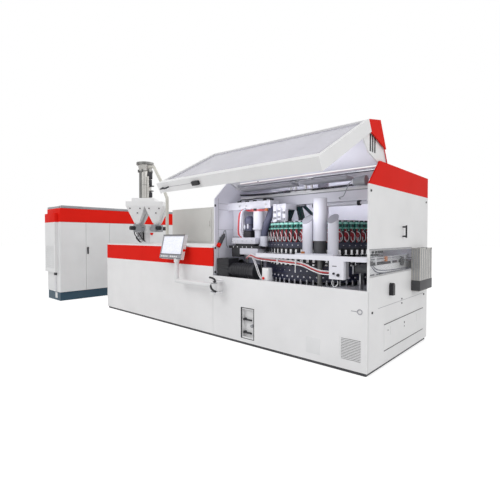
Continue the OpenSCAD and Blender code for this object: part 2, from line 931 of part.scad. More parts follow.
module dosing_feeders() {
    motor_x0 = bin_r + feeder_box_half;
    color(dark) placed() for (a = [0 : 90 : 270])
        translate([throat_x + bins_dx, throat_y, feeder_z]) rotate(a) {
            rod_x(mixer_half, bin_r, 0, 0, feeder_d);
            translate([bin_r, 0, 0])
                block([-feeder_box_half, -feeder_box_half, -feeder_box_half],
                      [feeder_box_half, feeder_box_half, feeder_d]);
            rod_x(motor_x0, motor_x0 + feeder_motor_l, 0, feeder_motor_rise, feeder_motor_d);
        }
}

module vacuum_loader() {
    cap_z = loader_top + loader_cone_h;
    filter_x = throat_x + (loader_d + filter_d) / 2 + filter_gap;
    color(steel) placed() {
        rod_z(throat_x, throat_y, hopper_top, loader_top, loader_d);
        translate([throat_x, throat_y, loader_top])
            cylinder(d1 = loader_d, d2 = loader_d + 2 * loader_cone_over, h = loader_cone_h);
        rod_z(throat_x, throat_y, cap_z, cap_z + loader_cap_h, loader_d + 2 * loader_cap_over);
        rod_z(filter_x, throat_y - filter_d / 2, hopper_top, loader_top - filter_drop, filter_d);
        link([throat_x, throat_y, suction_z0],
             [suction_bends[0][0], throat_y, suction_bends[0][1]], suction_d);
        for (i = [1 : 2])
            link([suction_bends[i - 1][0], throat_y, suction_bends[i - 1][1]],
                 [suction_bends[i][0], throat_y, suction_bends[i][1]], suction_d);
        for (p = suction_bends)
            translate([p[0], throat_y, p[1]]) sphere(d = elbow_d);
        rod_z(suction_bends[2][0], throat_y, counter_h, suction_bends[2][1], suction_d);
    }
}

module cabinet_plinth() {
    color(plinth_blue) placed() {
        block([cabinet_x0 + plinth_in, cabinet_y0 + plinth_in, 0],
              [carcass_x1 - plinth_in, cabinet_y1 - plinth_in, plinth_h]);
        block([carcass_x1 - plinth_in, duct_y0, 0], [0, duct_y0 + duct_w, duct_h]);
    }
}

module cabinet_carcass() {
    lines = concat([cabinet_y0], bay_lines, [cabinet_y1]);
    color(grey) placed() {
        difference() {
            block([cabinet_x0, cabinet_y0, plinth_h], [carcass_x1, cabinet_y1, cabinet_h]);
            for (i = [0 : 2])
                block([cabinet_x0 + cabinet_t, lines[i] + cabinet_t, plinth_h + cabinet_t],
                      [carcass_x1 + 1, lines[i + 1] - cabinet_t, cabinet_h - cabinet_t]);
        }
        for (x = [cabinet_x0 + rail_in, carcass_x1 - rail_in - rail_bar_w])
            block([x, cabinet_y0 + rail_in, cabinet_h],
                  [x + rail_bar_w, cabinet_y1 - rail_in, cabinet_h + cabinet_rail_h]);
    }
}

module cabinet_fascia() {
    color(red) placed() block([carcass_x1, cabinet_y0, fascia_z], [cabinet_x1, cabinet_y1, cabinet_h]);
}

module cooling_unit() {
    cooler_y0 = cabinet_y0 - cooler_t;
    color(grey) placed() difference() {
        block([cooler_x0, cooler_y0, cooler_z0], [cooler_x1, cabinet_y0, cooler_z1]);
        for (i = [0 : louvre_count - 1])
            translate([0, cooler_y0, louvre_z0 + i * louvre_pitch])
                block([cooler_x0 + cooler_rim, -1, 0], [cooler_x1 - cooler_rim, louvre_depth, louvre_h]);
    }
}

module switchgear() {
    plate_x = cabinet_x0 + cabinet_t;
    starts = [cabinet_y0, bay_lines[0], bay_lines[1]];
    color(grey) placed() for (y = starts) {
        block([plate_x, y + gear_in, plinth_h + gear_rise],
              [plate_x + gear_plate_t, y + bay_narrow - gear_in, cabinet_h - gear_rise]);
        for (row = [0 : gear_rows - 1])
            for (column = [0 : gear_columns - 1])
                translate([plate_x + gear_plate_t, y + gear_first_y + column * gear_pitch_y,
                           plinth_h + gear_first_z + row * gear_pitch_z])
                    cube([gear_depth, gear_w, gear_h]);
    }
}

// A cabinet door leaf between two places along the cabinet
module cabinet_leaf(y0, y1) {
    color(grey) placed() block([cabinet_x1 - leaf_depth, y0 + leaf_seam, cabinet_leaf_z0],
                               [cabinet_x1, y1 - leaf_seam, cabinet_leaf_z1]);
}

// A swing handle fixed to its leaf
module fixed_handle(y) {
    color(dark) placed() block([cabinet_x1, y - handle_half, handle_z - handle_h / 2],
                               [cabinet_x1 + handle_rise, y + handle_half, handle_z + handle_h / 2]);
}

module cabinet_door_left() {
    cabinet_leaf(cabinet_y0, cabinet_y0 + bay_wide / 2);
}

module cabinet_door_right() {
    cabinet_leaf(cabinet_y0 + bay_wide / 2, bay_lines[0]);
}

module cabinet_door_middle() {
    cabinet_leaf(bay_lines[0], bay_lines[1]);
    fixed_handle(bay_lines[0] + handle_in);
}

module cabinet_door_rear() {
    cabinet_leaf(bay_lines[1], cabinet_y1);
    fixed_handle(bay_lines[1] + handle_in);
}

module cabinet_handle() {
    y = cabinet_y0 + bay_wide / 2 + swing_in;
    z1 = handle_z + handle_h / 2;
    x0 = cabinet_x1 + swing_rise;
    color(dark) placed() {
        rod_x(cabinet_x1 + slip, x0 + handle_half, y, z1 - swing_boss_in, handle_boss_d);
        block([x0, y - handle_half, z1 - handle_h], [x0 + handle_half, y + handle_half, z1]);
    }
}

module main_switch() {
    color(red) placed() {
        rod_x(cabinet_x1 + slip, cabinet_x1 + switch_t, switch_y, switch_z, switch_d);
        translate([cabinet_x1 + switch_t, switch_y, switch_z])
            block([0, -switch_grip_half, -switch_grip_l / 2],
                  [switch_grip_rise, switch_grip_half, switch_grip_l / 2]);
    }
}

module carousel_drums() {
    color(drum_blue) placed() {
        rod_z(axis_x, axis_y, deck_z - shaft_foot, head_z, shaft_d);
        rod_z(axis_x, axis_y, lower_drum_z, mould_z, 2 * drum_r);
        rod_z(axis_x, axis_y, upper_drum_z, stem_z, 2 * drum_r);
    }
}

module lower_moulds() {
    color(steel) placed() around_carousel(unit_ring_r) {
        translate([0, 0, mould_z]) cylinder(d = mould_d, h = mould_h);
    }
}

module punches() {
    color(steel) placed() around_carousel(unit_ring_r) {
        translate([0, 0, punch_z]) cylinder(d = punch_d, h = punch_h);
    }
}

module unit_hoses() {
    color(red) placed() around_carousel(unit_ring_r) {
        translate([0, 0, stem_z]) cylinder(d = stem_d, h = stem_h);
        translate([loop_out, 0, stem_z + loop_rise]) rotate([90, 0, 90])
            rotate_extrude() translate([loop_r, 0]) circle(d = loop_tube_d);
    }
}

module unit_heads() {
    color(teal) placed() around_carousel(unit_ring_r) {
        translate([0, 0, head_z]) cylinder(d = head_d, h = head_h);
    }
}

// Hoses from the header under the roof to the fixed cam plate
module feed_hoses() {
    cam_top = cam_z + cam_h;
    color(teal) placed() translate([axis_x, feed_y, 0]) for (run = feed_runs) {
        rod_z(run[0], 0, header_z - feed_cup_h, header_z, feed_cup_d);
        rod_z(run[1], 0, cam_top, cam_top + feed_cup_h, feed_foot_d);
        link([run[0], 0, header_z - feed_cup_h / 2], [run[1], 0, cam_top + feed_cup_h / 2], feed_hose_d);
    }
}

module pocket_wheel(x, y) {
    color(steel) placed() {
        difference() {
            rod_z(x, y, wheel_z, wheel_z + wheel_t, 2 * (pocket_ring_r + wheel_rim));
            for (i = [0 : pocket_count - 1])
                translate([x, y, wheel_z - 1]) rotate(i * 360 / pocket_count)
                    translate([pocket_ring_r, 0, 0]) cylinder(d = pocket_d, h = wheel_t + 2);
        }
        rod_z(x, y, deck_z + slip, wheel_z, wheel_shaft_d);
    }
}

module extraction_star() {
    pocket_wheel(star_x, star_y);
}

module dose_wheel() {
    pocket_wheel(wheel_x, wheel_y);
}

// Turns what is drawn in the closed place to the open rest place
module door_swing() {
    placed() translate([0, hinge_y, hinge_z]) rotate([-door_open, 0, 0])
        translate([0, -hinge_y, -hinge_z]) children();
}

module door_frame() {
    x0 = door_x0 + plate_t;
    x1 = door_x1 - plate_t;
    color(white) door_swing() {
        difference() {
            block([x0, -door_bulge, door_z0 + beam_h], [x1, -door_bulge + door_t, door_band_z]);
            block([x0 + stile_w, -door_bulge - 1, door_z0 + beam_h + stile_w],
                  [x1 - stile_w, -door_bulge + door_t + 1, door_band_z - stile_w]);
        }
        block([x0, -door_bulge, door_z0], [x1, -door_bulge + beam_d, door_z0 + beam_h]);
    }
}

module door_panes() {
    inset = plate_t + stile_w;
    color(clear) door_swing() block(
        [door_x0 + inset, -door_bulge + door_t / 2, door_z0 + beam_h + stile_w],
        [door_x1 - inset, -door_bulge + door_t / 2 + pane_t, door_band_z - stile_w]);
}

// The red upper front, its two red ends and the top that meets the roof
module door_fascia() {
    chamfer_low = [plate_y1 + door_band_z - band_z, door_band_z];
    chamfer_top = [plate_y1 + door_top_z - band_z, door_top_z];
    color(red) door_swing() {
        side_plate(door_x0 + plate_t, door_x1 - plate_t, [
            edge_band, edge_top, [top_y1, door_top_z], [top_y1, door_top_z - fascia_t],
            edge_top + [fascia_t, -fascia_t], edge_band + [fascia_t, 0]
        ]);
        for (x = [door_x0, door_x1 - plate_t])
            side_plate(x, x + plate_t, [edge_band, edge_top, chamfer_top, chamfer_low]);
    }
}

// White end plates flush with the walls, and the slotted hinge arms inside them
module door_end_plates() {
    arm_y0 = -door_bulge + door_t;
    arm_top = door_top_z - fascia_t;
    color(white) difference() {
        door_swing() {
            for (x = [door_x0, door_x1 - plate_t])
                block([x, -door_bulge, door_z0], [x + plate_t, plate_y1, door_band_z]);
            for (x = [chamber_x0 + arm_inset, chamber_x1 - arm_inset - arm_t])
                difference() {
                    union() {
                        side_plate(x, x + arm_t, [
                            [arm_y0, arm_root_z], [arm_y0, door_band_z], [edge_top[0] + arm_corner, arm_top],
                            [top_y1, arm_top], [hinge_y, hinge_z], arm_neck, arm_waist,
                            [arm_root_y, arm_root_z]
                        ]);
                        rod_x(x, x + arm_t, hinge_y, hinge_z, hinge_eye_d);
                    }
                    rod_x(x - 1, x + arm_t + 1, hinge_y, hinge_z, hinge_d + 2 * slip);
                }
        }
        placed() for (i = [-1 : 1])
            translate([chamber_x1 - arm_inset, slot_y + i * slot_pitch, slot_z])
                block([-arm_t - 1, -slot_w / 2, 0], [1, slot_w / 2, slot_h]);
    }
}

module door_fittings() {
    fitting_y = -door_bulge + beam_d / 2;
    color(dark) door_swing() {
        for (x = [grip_x0, grip_x0 + grip_l])
            rod_z(x, fitting_y, door_z0 - grip_rise, door_z0, grip_d);
        rod_x(grip_x0 - grip_d / 2, grip_x0 + grip_l + grip_d / 2, fitting_y, door_z0 - grip_rise, grip_d);
        block([bolt_x0, fitting_y - bolt_half, door_z0 - bolt_h],
              [bolt_x0 + bolt_l, fitting_y + bolt_half, door_z0]);
    }
}

module hmi_arm() {
    color(grey) placed() {
        difference() {
            union() {
                rod_z(pivot_x, arm_y, pivot_z0, pivot_z1, pivot_d);
                rod_x(post_x, pivot_x, arm_y, arm_z, arm_d);
            }
            rod_z(pivot_x, arm_y, pivot_z0 - 1, pivot_z1 + 1, pivot_pin_d + 2 * slip);
        }
        rod_z(post_x, arm_y, arm_z, post_top, arm_d);
        translate([post_x, arm_y, arm_z]) sphere(d = arm_d);
        rod_z(post_x, arm_y, post_top, post_top + post_pin_h, pivot_pin_d);
    }
}

module hmi_panel() {
    hub_z = post_top + 2 * slip;
    color(dark) placed() {
        difference() {
            rod_z(post_x, arm_y, hub_z, hub_z + hub_h, pivot_d);
            rod_z(post_x, arm_y, hub_z - 1, post_top + post_pin_h + 2 * slip, pivot_pin_d + 2 * slip);
        }
        translate([screen_centre_x, arm_y, hub_z + hub_h - hub_lap])
            rotate([-screen_tilt, 0, 0]) difference() {
                block([-panel_w / 2, -screen_depth / 2, 0], [panel_w / 2, screen_depth / 2, panel_h]);
                block([-panel_w / 2 + screen_rim, -screen_depth / 2 - 1, screen_low],
                      [panel_w / 2 - screen_rim, -screen_depth / 2 + screen_sink, panel_h - screen_rim]);
            }
    }
}

base_bed();
extruder_covers();
counter_band();
extruder_barrel();
extruder_drive();
extruder_screw();
service_housing();
service_door();
moulding_front_cover();
front_inserts();
niche_lever_upper();
niche_lever_lower();
deck();
partition();
end_wall();
end_band();
end_fittings();
rear_wall();
roof();
hinge_shaft();
front_rail();
extraction_column();
inserter_motor();
inserter_housing();
carousel_drive();
conveyor_frame();
conveyor_belt();
conveyor_roller_front();
conveyor_roller_rear();
window_guard();
outfeed_box();
hopper_bins();
dosing_feeders();
vacuum_loader();
cabinet_plinth();
cabinet_carcass();
cabinet_fascia();
cooling_unit();
switchgear();
cabinet_door_left();
cabinet_door_right();
cabinet_door_middle();
cabinet_door_rear();
cabinet_handle();
main_switch();
carousel_drums();
lower_moulds();
punches();
unit_hoses();
unit_heads();
feed_hoses();
extraction_star();
dose_wheel();
door_frame();
door_panes();
door_fascia();
door_end_plates();
door_fittings();
hmi_arm();
hmi_panel();
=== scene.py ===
import math

import bmesh
import bpy
from mathutils import Matrix, Vector


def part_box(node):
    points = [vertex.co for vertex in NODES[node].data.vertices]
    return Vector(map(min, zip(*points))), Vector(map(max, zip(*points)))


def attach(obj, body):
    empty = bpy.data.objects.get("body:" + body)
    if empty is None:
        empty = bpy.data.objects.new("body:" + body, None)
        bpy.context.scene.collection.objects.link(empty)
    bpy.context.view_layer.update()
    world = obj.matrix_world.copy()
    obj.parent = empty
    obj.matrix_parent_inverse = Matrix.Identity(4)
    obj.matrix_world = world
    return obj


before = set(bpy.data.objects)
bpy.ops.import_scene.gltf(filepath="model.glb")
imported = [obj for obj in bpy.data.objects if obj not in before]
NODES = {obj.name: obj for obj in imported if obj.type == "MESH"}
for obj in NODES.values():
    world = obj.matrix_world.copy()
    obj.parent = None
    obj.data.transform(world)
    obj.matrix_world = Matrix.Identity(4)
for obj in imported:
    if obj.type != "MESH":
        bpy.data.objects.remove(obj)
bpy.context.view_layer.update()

SCENE = bpy.context.scene

# Camera of the photograph
CAMERA_PLACE = (4.498, -4.725, 1.500)
CAMERA_YAW = 42.479
CAMERA_PITCH = -1.1315
CAMERA_ROLL = 0.073
LENS_MM = 26.3
SENSOR_MM = 36.0
CAMERA_SHIFT = (0.009, -0.0122)
VIEW_DEPTH = 200


def make_camera():
    """The camera that was fitted to the photograph."""
    data = bpy.data.cameras.new("camera")
    data.lens = LENS_MM
    data.sensor_width = SENSOR_MM
    data.shift_x, data.shift_y = CAMERA_SHIFT
    data.clip_end = VIEW_DEPTH
    camera = bpy.data.objects.new("camera", data)
    SCENE.collection.objects.link(camera)
    turn = Matrix.Rotation(math.radians(CAMERA_YAW), 4, "Z")
    tilt = Matrix.Rotation(math.radians(90 + CAMERA_PITCH), 4, "X")
    roll = Matrix.Rotation(math.radians(CAMERA_ROLL), 4, "Z")
    camera.matrix_world = Matrix.Translation(CAMERA_PLACE) @ turn @ tilt @ roll
    SCENE.camera = camera


make_camera()


# Materials
NOISE_DETAIL = 3.0
NOISE_LOW = 0.3
NOISE_HIGH = 0.7
GLOSS_SPREAD = 0.05
GRAIN_DEPTH = 0.001
BRUSHED = (1, 1, 14)
SHEET_CLOUDS = 1.2
SHEET_SHADE = 0.94
SHEET_ROUGH = 0.12
SCREEN_FIELDS = 14.0
SCREEN_GAP = 0.06
SCREEN_GLOW = 0.35
SCREEN_ROUGH = 0.25


def shader_of(name):
    """A new material and its node tree, with the main shader in it."""
    made = bpy.data.materials.new(name)
    made.use_nodes = True
    tree = made.node_tree
    return made, tree, tree.nodes["Principled BSDF"]


def node(tree, kind, **inputs):
    """A shader node with the given inputs set, by name."""
    made = tree.nodes.new(kind)
    for key, value in inputs.items():
        made.inputs[key].default_value = value
    return made


def place_noise(tree, scale, stretch=(1, 1, 1)):
    """A noise that lies still on the object, in metres."""
    where = tree.nodes.new("ShaderNodeTexCoord")
    mapping = node(tree, "ShaderNodeMapping", Scale=stretch)
    noise = node(tree, "ShaderNodeTexNoise", Scale=scale, Detail=NOISE_DETAIL)
    tree.links.new(where.outputs["Object"], mapping.inputs["Vector"])
    tree.links.new(mapping.outputs["Vector"], noise.inputs["Vector"])
    return noise.outputs["Fac"]


def between(tree, factor, low, high, kind="RGBA"):
    """A mix of two colours or two numbers by a factor."""
    if kind == "RGBA":
        ramp = tree.nodes.new("ShaderNodeValToRGB")
        ramp.color_ramp.elements[0].position = NOISE_LOW
        ramp.color_ramp.elements[1].position = NOISE_HIGH
        ramp.color_ramp.elements[0].color = (*low, 1)
        ramp.color_ramp.elements[1].color = (*high, 1)
        tree.links.new(factor, ramp.inputs["Fac"])
        return ramp.outputs["Color"]
    span = tree.nodes.new("ShaderNodeMapRange")
    span.inputs["From Min"].default_value = NOISE_LOW
    span.inputs["From Max"].default_value = NOISE_HIGH
    span.inputs["To Min"].default_value = low
    span.inputs["To Max"].default_value = high
    tree.links.new(factor, span.inputs["Value"])
    return span.outputs["Result"]


def finish_of(name, colour, rough, metal=0.0, mottle=0.03, mottle_scale=2.5, grain=700.0, bump=0.04,
              stretch=(1, 1, 1), shine=0.5):
    """A finish with slight clouds in its colour, an uneven gloss and a fine grain."""
    made, tree, shader = shader_of(name)
    clouds = place_noise(tree, mottle_scale)
    low = [max(0.0, c * (1 - mottle)) for c in colour]
    high = [min(1.0, c * (1 + mottle)) for c in colour]
    tree.links.new(between(tree, clouds, low, high), shader.inputs["Base Color"])
    fine = place_noise(tree, grain, stretch)
    gloss = between(tree, fine, rough - GLOSS_SPREAD, rough + GLOSS_SPREAD, "FLOAT")
    tree.links.new(gloss, shader.inputs["Roughness"])
    relief = node(tree, "ShaderNodeBump", Strength=bump, Distance=GRAIN_DEPTH)
    tree.links.new(fine, relief.inputs["Height"])
    tree.links.new(relief.outputs["Normal"], shader.inputs["Normal"])
    shader.inputs["Metallic"].default_value = metal
    shader.inputs["Specular IOR Level"].default_value = shine
    return made


def clear_sheet(name, colour, share):
    """A clear guard sheet: part of the light passes straight through it."""
    made, tree, shader = shader_of(name)
    clouds = place_noise(tree, SHEET_CLOUDS)
    low = [c * SHEET_SHADE for c in colour]
    tree.links.new(between(tree, clouds, low, colour), shader.inputs["Base Color"])
    shader.inputs["Roughness"].default_value = SHEET_ROUGH
    shader.inputs["Alpha"].default_value = share
    return made


def screen_of(name):
    """A lit display with faint plain fields on it."""
    made, tree, shader = shader_of(name)
    where = tree.nodes.new("ShaderNodeTexCoord")
    fields = node(tree, "ShaderNodeTexBrick", Scale=SCREEN_FIELDS)
    fields.inputs["Color1"].default_value = (0.70, 0.73, 0.82, 1)
    fields.inputs["Color2"].default_value = (0.56, 0.61, 0.76, 1)
    fields.inputs["Mortar"].default_value = (0.78, 0.78, 0.84, 1)
    fields.inputs["Mortar Size"].default_value = SCREEN_GAP
    turn = node(tree, "ShaderNodeMapping", Rotation=(math.radians(90), 0, 0))
    tree.links.new(where.outputs["Object"], turn.inputs["Vector"])
    tree.links.new(turn.outputs["Vector"], fields.inputs["Vector"])
    tree.links.new(fields.outputs["Color"], shader.inputs["Base Color"])
    tree.links.new(fields.outputs["Color"], shader.inputs["Emission Color"])
    shader.inputs["Emission Strength"].default_value = SCREEN_GLOW
    shader.inputs["Roughness"].default_value = SCREEN_ROUGH
    return made


WHITE = finish_of("white_coat", (0.80, 0.80, 0.805), 0.42)
CHAMBER_WHITE = finish_of("chamber_white_coat", (0.78, 0.78, 0.84), 0.40)
COLUMN_GREY = finish_of("column_grey_coat", (0.60, 0.60, 0.66), 0.40)
GREY = finish_of("grey_coat", (0.76, 0.765, 0.77), 0.48, grain=420, bump=0.08)
HOUSING_GREY = finish_of("housing_grey_coat", (0.64, 0.64, 0.615), 0.50, grain=420, bump=0.08)
# Dark grey of seams, joints, bezels, clips and plugs, and also painted shade on the junction box's side,
# under the lamp bar and on the plates under the roof
DARK_GREY_AND_PAINTED_SHADE = finish_of("dark_grey_and_painted_shade", (0.30, 0.30, 0.33), 0.45)
RED = finish_of("red_coat", (0.74, 0.018, 0.011), 0.52, shine=0.03)
BLACK = finish_of("black_plastic", (0.022, 0.022, 0.026), 0.45, mottle=0.2, grain=900, bump=0.1,
                  shine=0.3)
DARK = finish_of("dark_base_coat", (0.045, 0.045, 0.05), 0.55, mottle=0.15)
STEEL = finish_of("brushed_steel", (0.58, 0.585, 0.60), 0.30, metal=1.0, mottle=0.06, grain=160,
                  stretch=BRUSHED, bump=0.05)
LOADER_STEEL = finish_of("loader_steel", (0.44, 0.43, 0.41), 0.30, metal=0.85, mottle=0.10, mottle_scale=5,
                         grain=160, stretch=BRUSHED, bump=0.02)
DULL_STEEL = finish_of("dull_steel", (0.17, 0.17, 0.165), 0.42, metal=0.7, mottle=0.15, mottle_scale=9)
CREAM_HOSE = finish_of("cream_hose_skin", (0.56, 0.55, 0.50), 0.40, mottle=0.05, mottle_scale=12)
BLUE_HOSE = finish_of("dark_blue_hose_skin", (0.055, 0.058, 0.105), 0.42, mottle=0.15, mottle_scale=14)
TURNED = finish_of("turned_steel", (0.70, 0.70, 0.72), 0.24, metal=1.0, mottle=0.08, mottle_scale=30,
                   grain=300, stretch=(1, 1, 8), bump=0.04)
DRUM_BLUE = finish_of("drum_coat", (0.020, 0.022, 0.050), 0.34, mottle=0.2, mottle_scale=6)
RED_HOSE = finish_of("red_hose_skin", (0.62, 0.03, 0.035), 0.30, mottle=0.1, mottle_scale=40)
UNIT_HOSE = finish_of("dark_red_hose_skin", (0.36, 0.016, 0.028), 0.30, mottle=0.15, mottle_scale=40)
WHITE_HOSE = finish_of("white_hose_skin", (0.78, 0.78, 0.80), 0.32, mottle=0.06, mottle_scale=40)
TEAL = finish_of("teal_fitting", (0.014, 0.13, 0.105), 0.28, mottle=0.25, mottle_scale=60)
MINT = finish_of("mint_fitting", (0.26, 0.58, 0.50), 0.30, mottle=0.2, mottle_scale=60)
TEAL_HOSE = finish_of("dark_teal_hose", (0.009, 0.012, 0.024), 0.36, mottle=0.2, mottle_scale=30, shine=0.3)
PLINTH = finish_of("plinth_coat", (0.012, 0.050, 0.085), 0.50, grain=420, bump=0.08)
BELT = finish_of("belt_rubber", (0.06, 0.062, 0.066), 0.62, mottle=0.15, mottle_scale=20, grain=500,
                 bump=0.15)
DEVICE = finish_of("device_grey", (0.30, 0.31, 0.33), 0.5, mottle=0.1, mottle_scale=8)
ORANGE = finish_of("orange_plastic", (0.45, 0.14, 0.03), 0.4, mottle=0.1, mottle_scale=20)
PANE = clear_sheet("door_pane_sheet", (0.60, 0.59, 0.67), 0.72)
GUARD = clear_sheet("window_sheet", (0.80, 0.82, 0.84), 0.06)
SCREEN = screen_of("display_glass")

LOOKS = {
    "base_bed": DARK, "extruder_covers": WHITE, "counter_band": RED, "extruder_barrel": STEEL,
    "extruder_drive": DEVICE, "extruder_screw": STEEL, "service_housing": HOUSING_GREY,
    "service_door": HOUSING_GREY, "moulding_front_cover": WHITE, "front_inserts": WHITE,
    "niche_lever_upper": BLACK, "niche_lever_lower": BLACK, "deck": CHAMBER_WHITE, "partition": CHAMBER_WHITE,
    "end_wall": WHITE, "end_band": RED, "end_fittings": BLACK, "rear_wall": CHAMBER_WHITE,
    "roof": CHAMBER_WHITE, "hinge_shaft": STEEL, "front_rail": CHAMBER_WHITE,
    "extraction_column": COLUMN_GREY, "inserter_motor": BLACK, "inserter_housing": CHAMBER_WHITE,
    "carousel_drive": STEEL, "conveyor_frame": STEEL, "conveyor_belt": BELT,
    "conveyor_roller_front": TURNED, "conveyor_roller_rear": TURNED, "window_guard": GUARD,
    "outfeed_box": LOADER_STEEL, "hopper_bins": WHITE,
    "dosing_feeders": DEVICE, "vacuum_loader": LOADER_STEEL, "cabinet_plinth": PLINTH,
    "cabinet_carcass": GREY, "cabinet_fascia": RED, "cooling_unit": GREY, "switchgear": DEVICE,
    "cabinet_door_left": GREY, "cabinet_door_right": GREY, "cabinet_door_middle": GREY,
    "cabinet_door_rear": GREY, "cabinet_handle": BLACK, "main_switch": RED,
    "carousel_drums": DRUM_BLUE, "lower_moulds": TURNED,
    "punches": TURNED, "unit_hoses": UNIT_HOSE, "unit_heads": TEAL, "feed_hoses": TEAL_HOSE,
    "extraction_star": DULL_STEEL, "dose_wheel": TURNED, "door_frame": WHITE, "door_panes": PANE,
    "door_fascia": RED, "door_end_plates": WHITE, "door_fittings": BLACK, "hmi_arm": GREY, "hmi_panel": GREY,
}
for name, look in LOOKS.items():
    mesh = NODES[name].data
    mesh.materials.clear()
    mesh.materials.append(look)

# Places, in millimetres of the machine: x from its left end, y from its front, z up
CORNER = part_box("counter_band")[0]
MACHINE = Matrix.Translation((CORNER[0], CORNER[1], 0)) @ Matrix.Scale(0.001, 4)
BASE_W = 2030
PARTITION_X = 3300
END_X = 5700
ROOF_Z = 2346
CABINET_BACK_X = -2281
CABINET_END_Y = -379
AXIS_X = 4550
AXIS_Y = 1040
UNITS = 64
UNIT_R = 800
DRUM_R = 834
HINGE = (0, 511, 2299)
DOOR_OPEN = 61
SWING = Matrix.Rotation(math.radians(-DOOR_OPEN), 4, "X")
DOOR = MACHINE @ Matrix.Translation(HINGE) @ SWING @ Matrix.Translation(HINGE).inverted()
PANEL_PLACE = (2435, -140, 1135.6)
PANEL_LEAN = -13
PANEL_TILT = Matrix.Rotation(math.radians(PANEL_LEAN), 4, "X")
PANEL = MACHINE @ Matrix.Translation(PANEL_PLACE) @ PANEL_TILT
ARM_X = 3465
ARM_Y = -140
STAR_X = 5000
STAR_Y = 203.34
TUBES_X = (4865, 5215)
TUBE_Y = 138.34
TUBE_CUT = 40
TUBE_CUT_Z = 1712
FEED_Y = 641
FEED_TOP_Z = 1940
FEED_FOOT_Z = 1745
FEED_EDGE = 17
INSERTER_Y = 300
MOTOR_X = 3755
SPINDLE_X = 3930
DUCT_X = 4028
LAMP_Y = 400
LAMP_Z = 2160
PIPE_Y = 625
PIPE_Z = 1926
WHEEL_Y = 1114
WHEEL_Z = 1190
THROAT_X = 480
THROAT_Y = 620
BINS_DX = 110
BIN_R = 264
BIN_TIP_R = 70
BIN_TIP_Z = 1780
BIN_H = 340


def unit(i):
    """The place of a moulding unit: x outwards from the carousel's axis, y along the ring."""
    turn = Matrix.Rotation(math.radians(360 * i / UNITS), 4, "Z")
    return MACHINE @ Matrix.Translation((AXIS_X, AXIS_Y, 0)) @ turn


# Shapes, added to a mesh in the millimetres of a place
EDGE_STEPS = 2
EDGE_ROUND = 0.6


def add_box(shape, low, high, edge=2.0, place=MACHINE):
    """A box between two corners, with its edges broken."""
    low, high = Vector(low), Vector(high)
    inside = Matrix.Translation((low + high) / 2) @ Matrix.Diagonal((*(high - low), 1))
    corners = bmesh.ops.create_cube(shape, size=1.0, matrix=place @ inside)["verts"]
    if edge:
        edges = list({e for corner in corners for e in corner.link_edges})
        bmesh.ops.bevel(shape, geom=edges, offset=edge / 1000, segments=EDGE_STEPS, profile=EDGE_ROUND,
                        affect="EDGES")


def add_rod(shape, start, end, d, d_end=None, sides=20, place=MACHINE):
    """A round rod or a cone between two points."""
    start, end = Vector(start), Vector(end)
    run = end - start
    spin = run.to_track_quat("Z", "Y").to_matrix().to_4x4()
    bmesh.ops.create_cone(shape, cap_ends=True, segments=sides, radius1=d / 2, radius2=(d_end or d) / 2,
                          depth=run.length, matrix=place @ Matrix.Translation((start + end) / 2) @ spin)


def add_post(shape, x, y, z0, z1, d, d_end=None, sides=20, place=MACHINE):
    """An upright rod or cone."""
    add_rod(shape, (x, y, z0), (x, y, z1), d, d_end, sides, place)


def smooth_path(points, closed, steps):
    """Points of a smooth curve that passes through the given ones."""
    points = [Vector(p) for p in points]
    count = len(points)
    spans = count if closed else count - 1
    curve = []
    for i in range(spans):
        if closed:
            a, b, c, d = (points[(i + k) % count] for k in (-1, 0, 1, 2))
        else:
            a, b, c, d = (points[min(max(i + k, 0), count - 1)] for k in (-1, 0, 1, 2))
        for step in range(steps):
            t = step / steps
            curve.append(0.5 * (2 * b + (c - a) * t + (2 * a - 5 * b + 4 * c - d) * t * t
                                + (3 * b - a - 3 * c + d) * t * t * t))
    if not closed:
        curve.append(points[-1])
    return curve


def add_tube(shape, points, d, place=MACHINE, sides=8, closed=False, steps=6):
    """A round tube along a smooth curve."""
    curve = smooth_path(points, closed, steps)
    count = len(curve)
    rings = []
    normal = None
    for i, point in enumerate(curve):
        before = curve[i - 1] if closed or i else point
        after = curve[(i + 1) % count] if closed or i < count - 1 else point
        along = (after - before).normalized()
        normal = normal or along.orthogonal()
        normal = (normal - along * normal.dot(along)).normalized()
        side = along.cross(normal)
        angles = [2 * math.pi * k / sides for k in range(sides)]
        rings.append([shape.verts.new(place @ (point + (normal * math.cos(a) + side * math.sin(a)) * d / 2))
                      for a in angles])
    following = rings[1:] + rings[:1] if closed else rings[1:]
    for ring, after in zip(rings, following):
        for k in range(sides):
            near = (k + 1) % sides
            shape.faces.new((ring[k], ring[near], after[near], after[k]))
    if not closed:
        shape.faces.new(rings[0])
        shape.faces.new(rings[-1])


def add_loop(shape, centre, d, tube_d, axis="Z", place=MACHINE, count=12, sides=8):
    """A closed ring about an axis."""
    turn = {"X": Matrix.Rotation(math.radians(90), 3, "Y"), "Y": Matrix.Rotation(math.radians(90), 3, "X"),
            "Z": Matrix.Identity(3)}[axis]
    angles = [2 * math.pi * k / count for k in range(count)]
    points = [Vector(centre) + turn @ Vector((math.cos(a), math.sin(a), 0)) * d / 2 for a in angles]
    add_tube(shape, points, tube_d, place, sides, closed=True)


def add_arc(shape, centre, inner, outer, angles, z0, z1, steps=16, place=MACHINE):
    """A part of an upright ring, between two angles in degrees."""
    rows = []
    for k in range(steps + 1):
        a = math.radians(angles[0] + (angles[1] - angles[0]) * k / steps)
        out = Vector((math.cos(a), math.sin(a), 0))
        middle = Vector((*centre, 0))
        outline = ((inner, z0), (outer, z0), (outer, z1), (inner, z1))
        corners = [out * r + Vector((0, 0, z)) for r, z in outline]
        rows.append([shape.verts.new(place @ (middle + corner)) for corner in corners])
    for row, after in zip(rows, rows[1:]):
        for k in range(4):
            near = (k + 1) % 4
            shape.faces.new((row[k], row[near], after[near], after[k]))
    shape.faces.new(rows[0])
    shape.faces.new(rows[-1])


# Pieces from the shapes
SHARP_ANGLE = 35


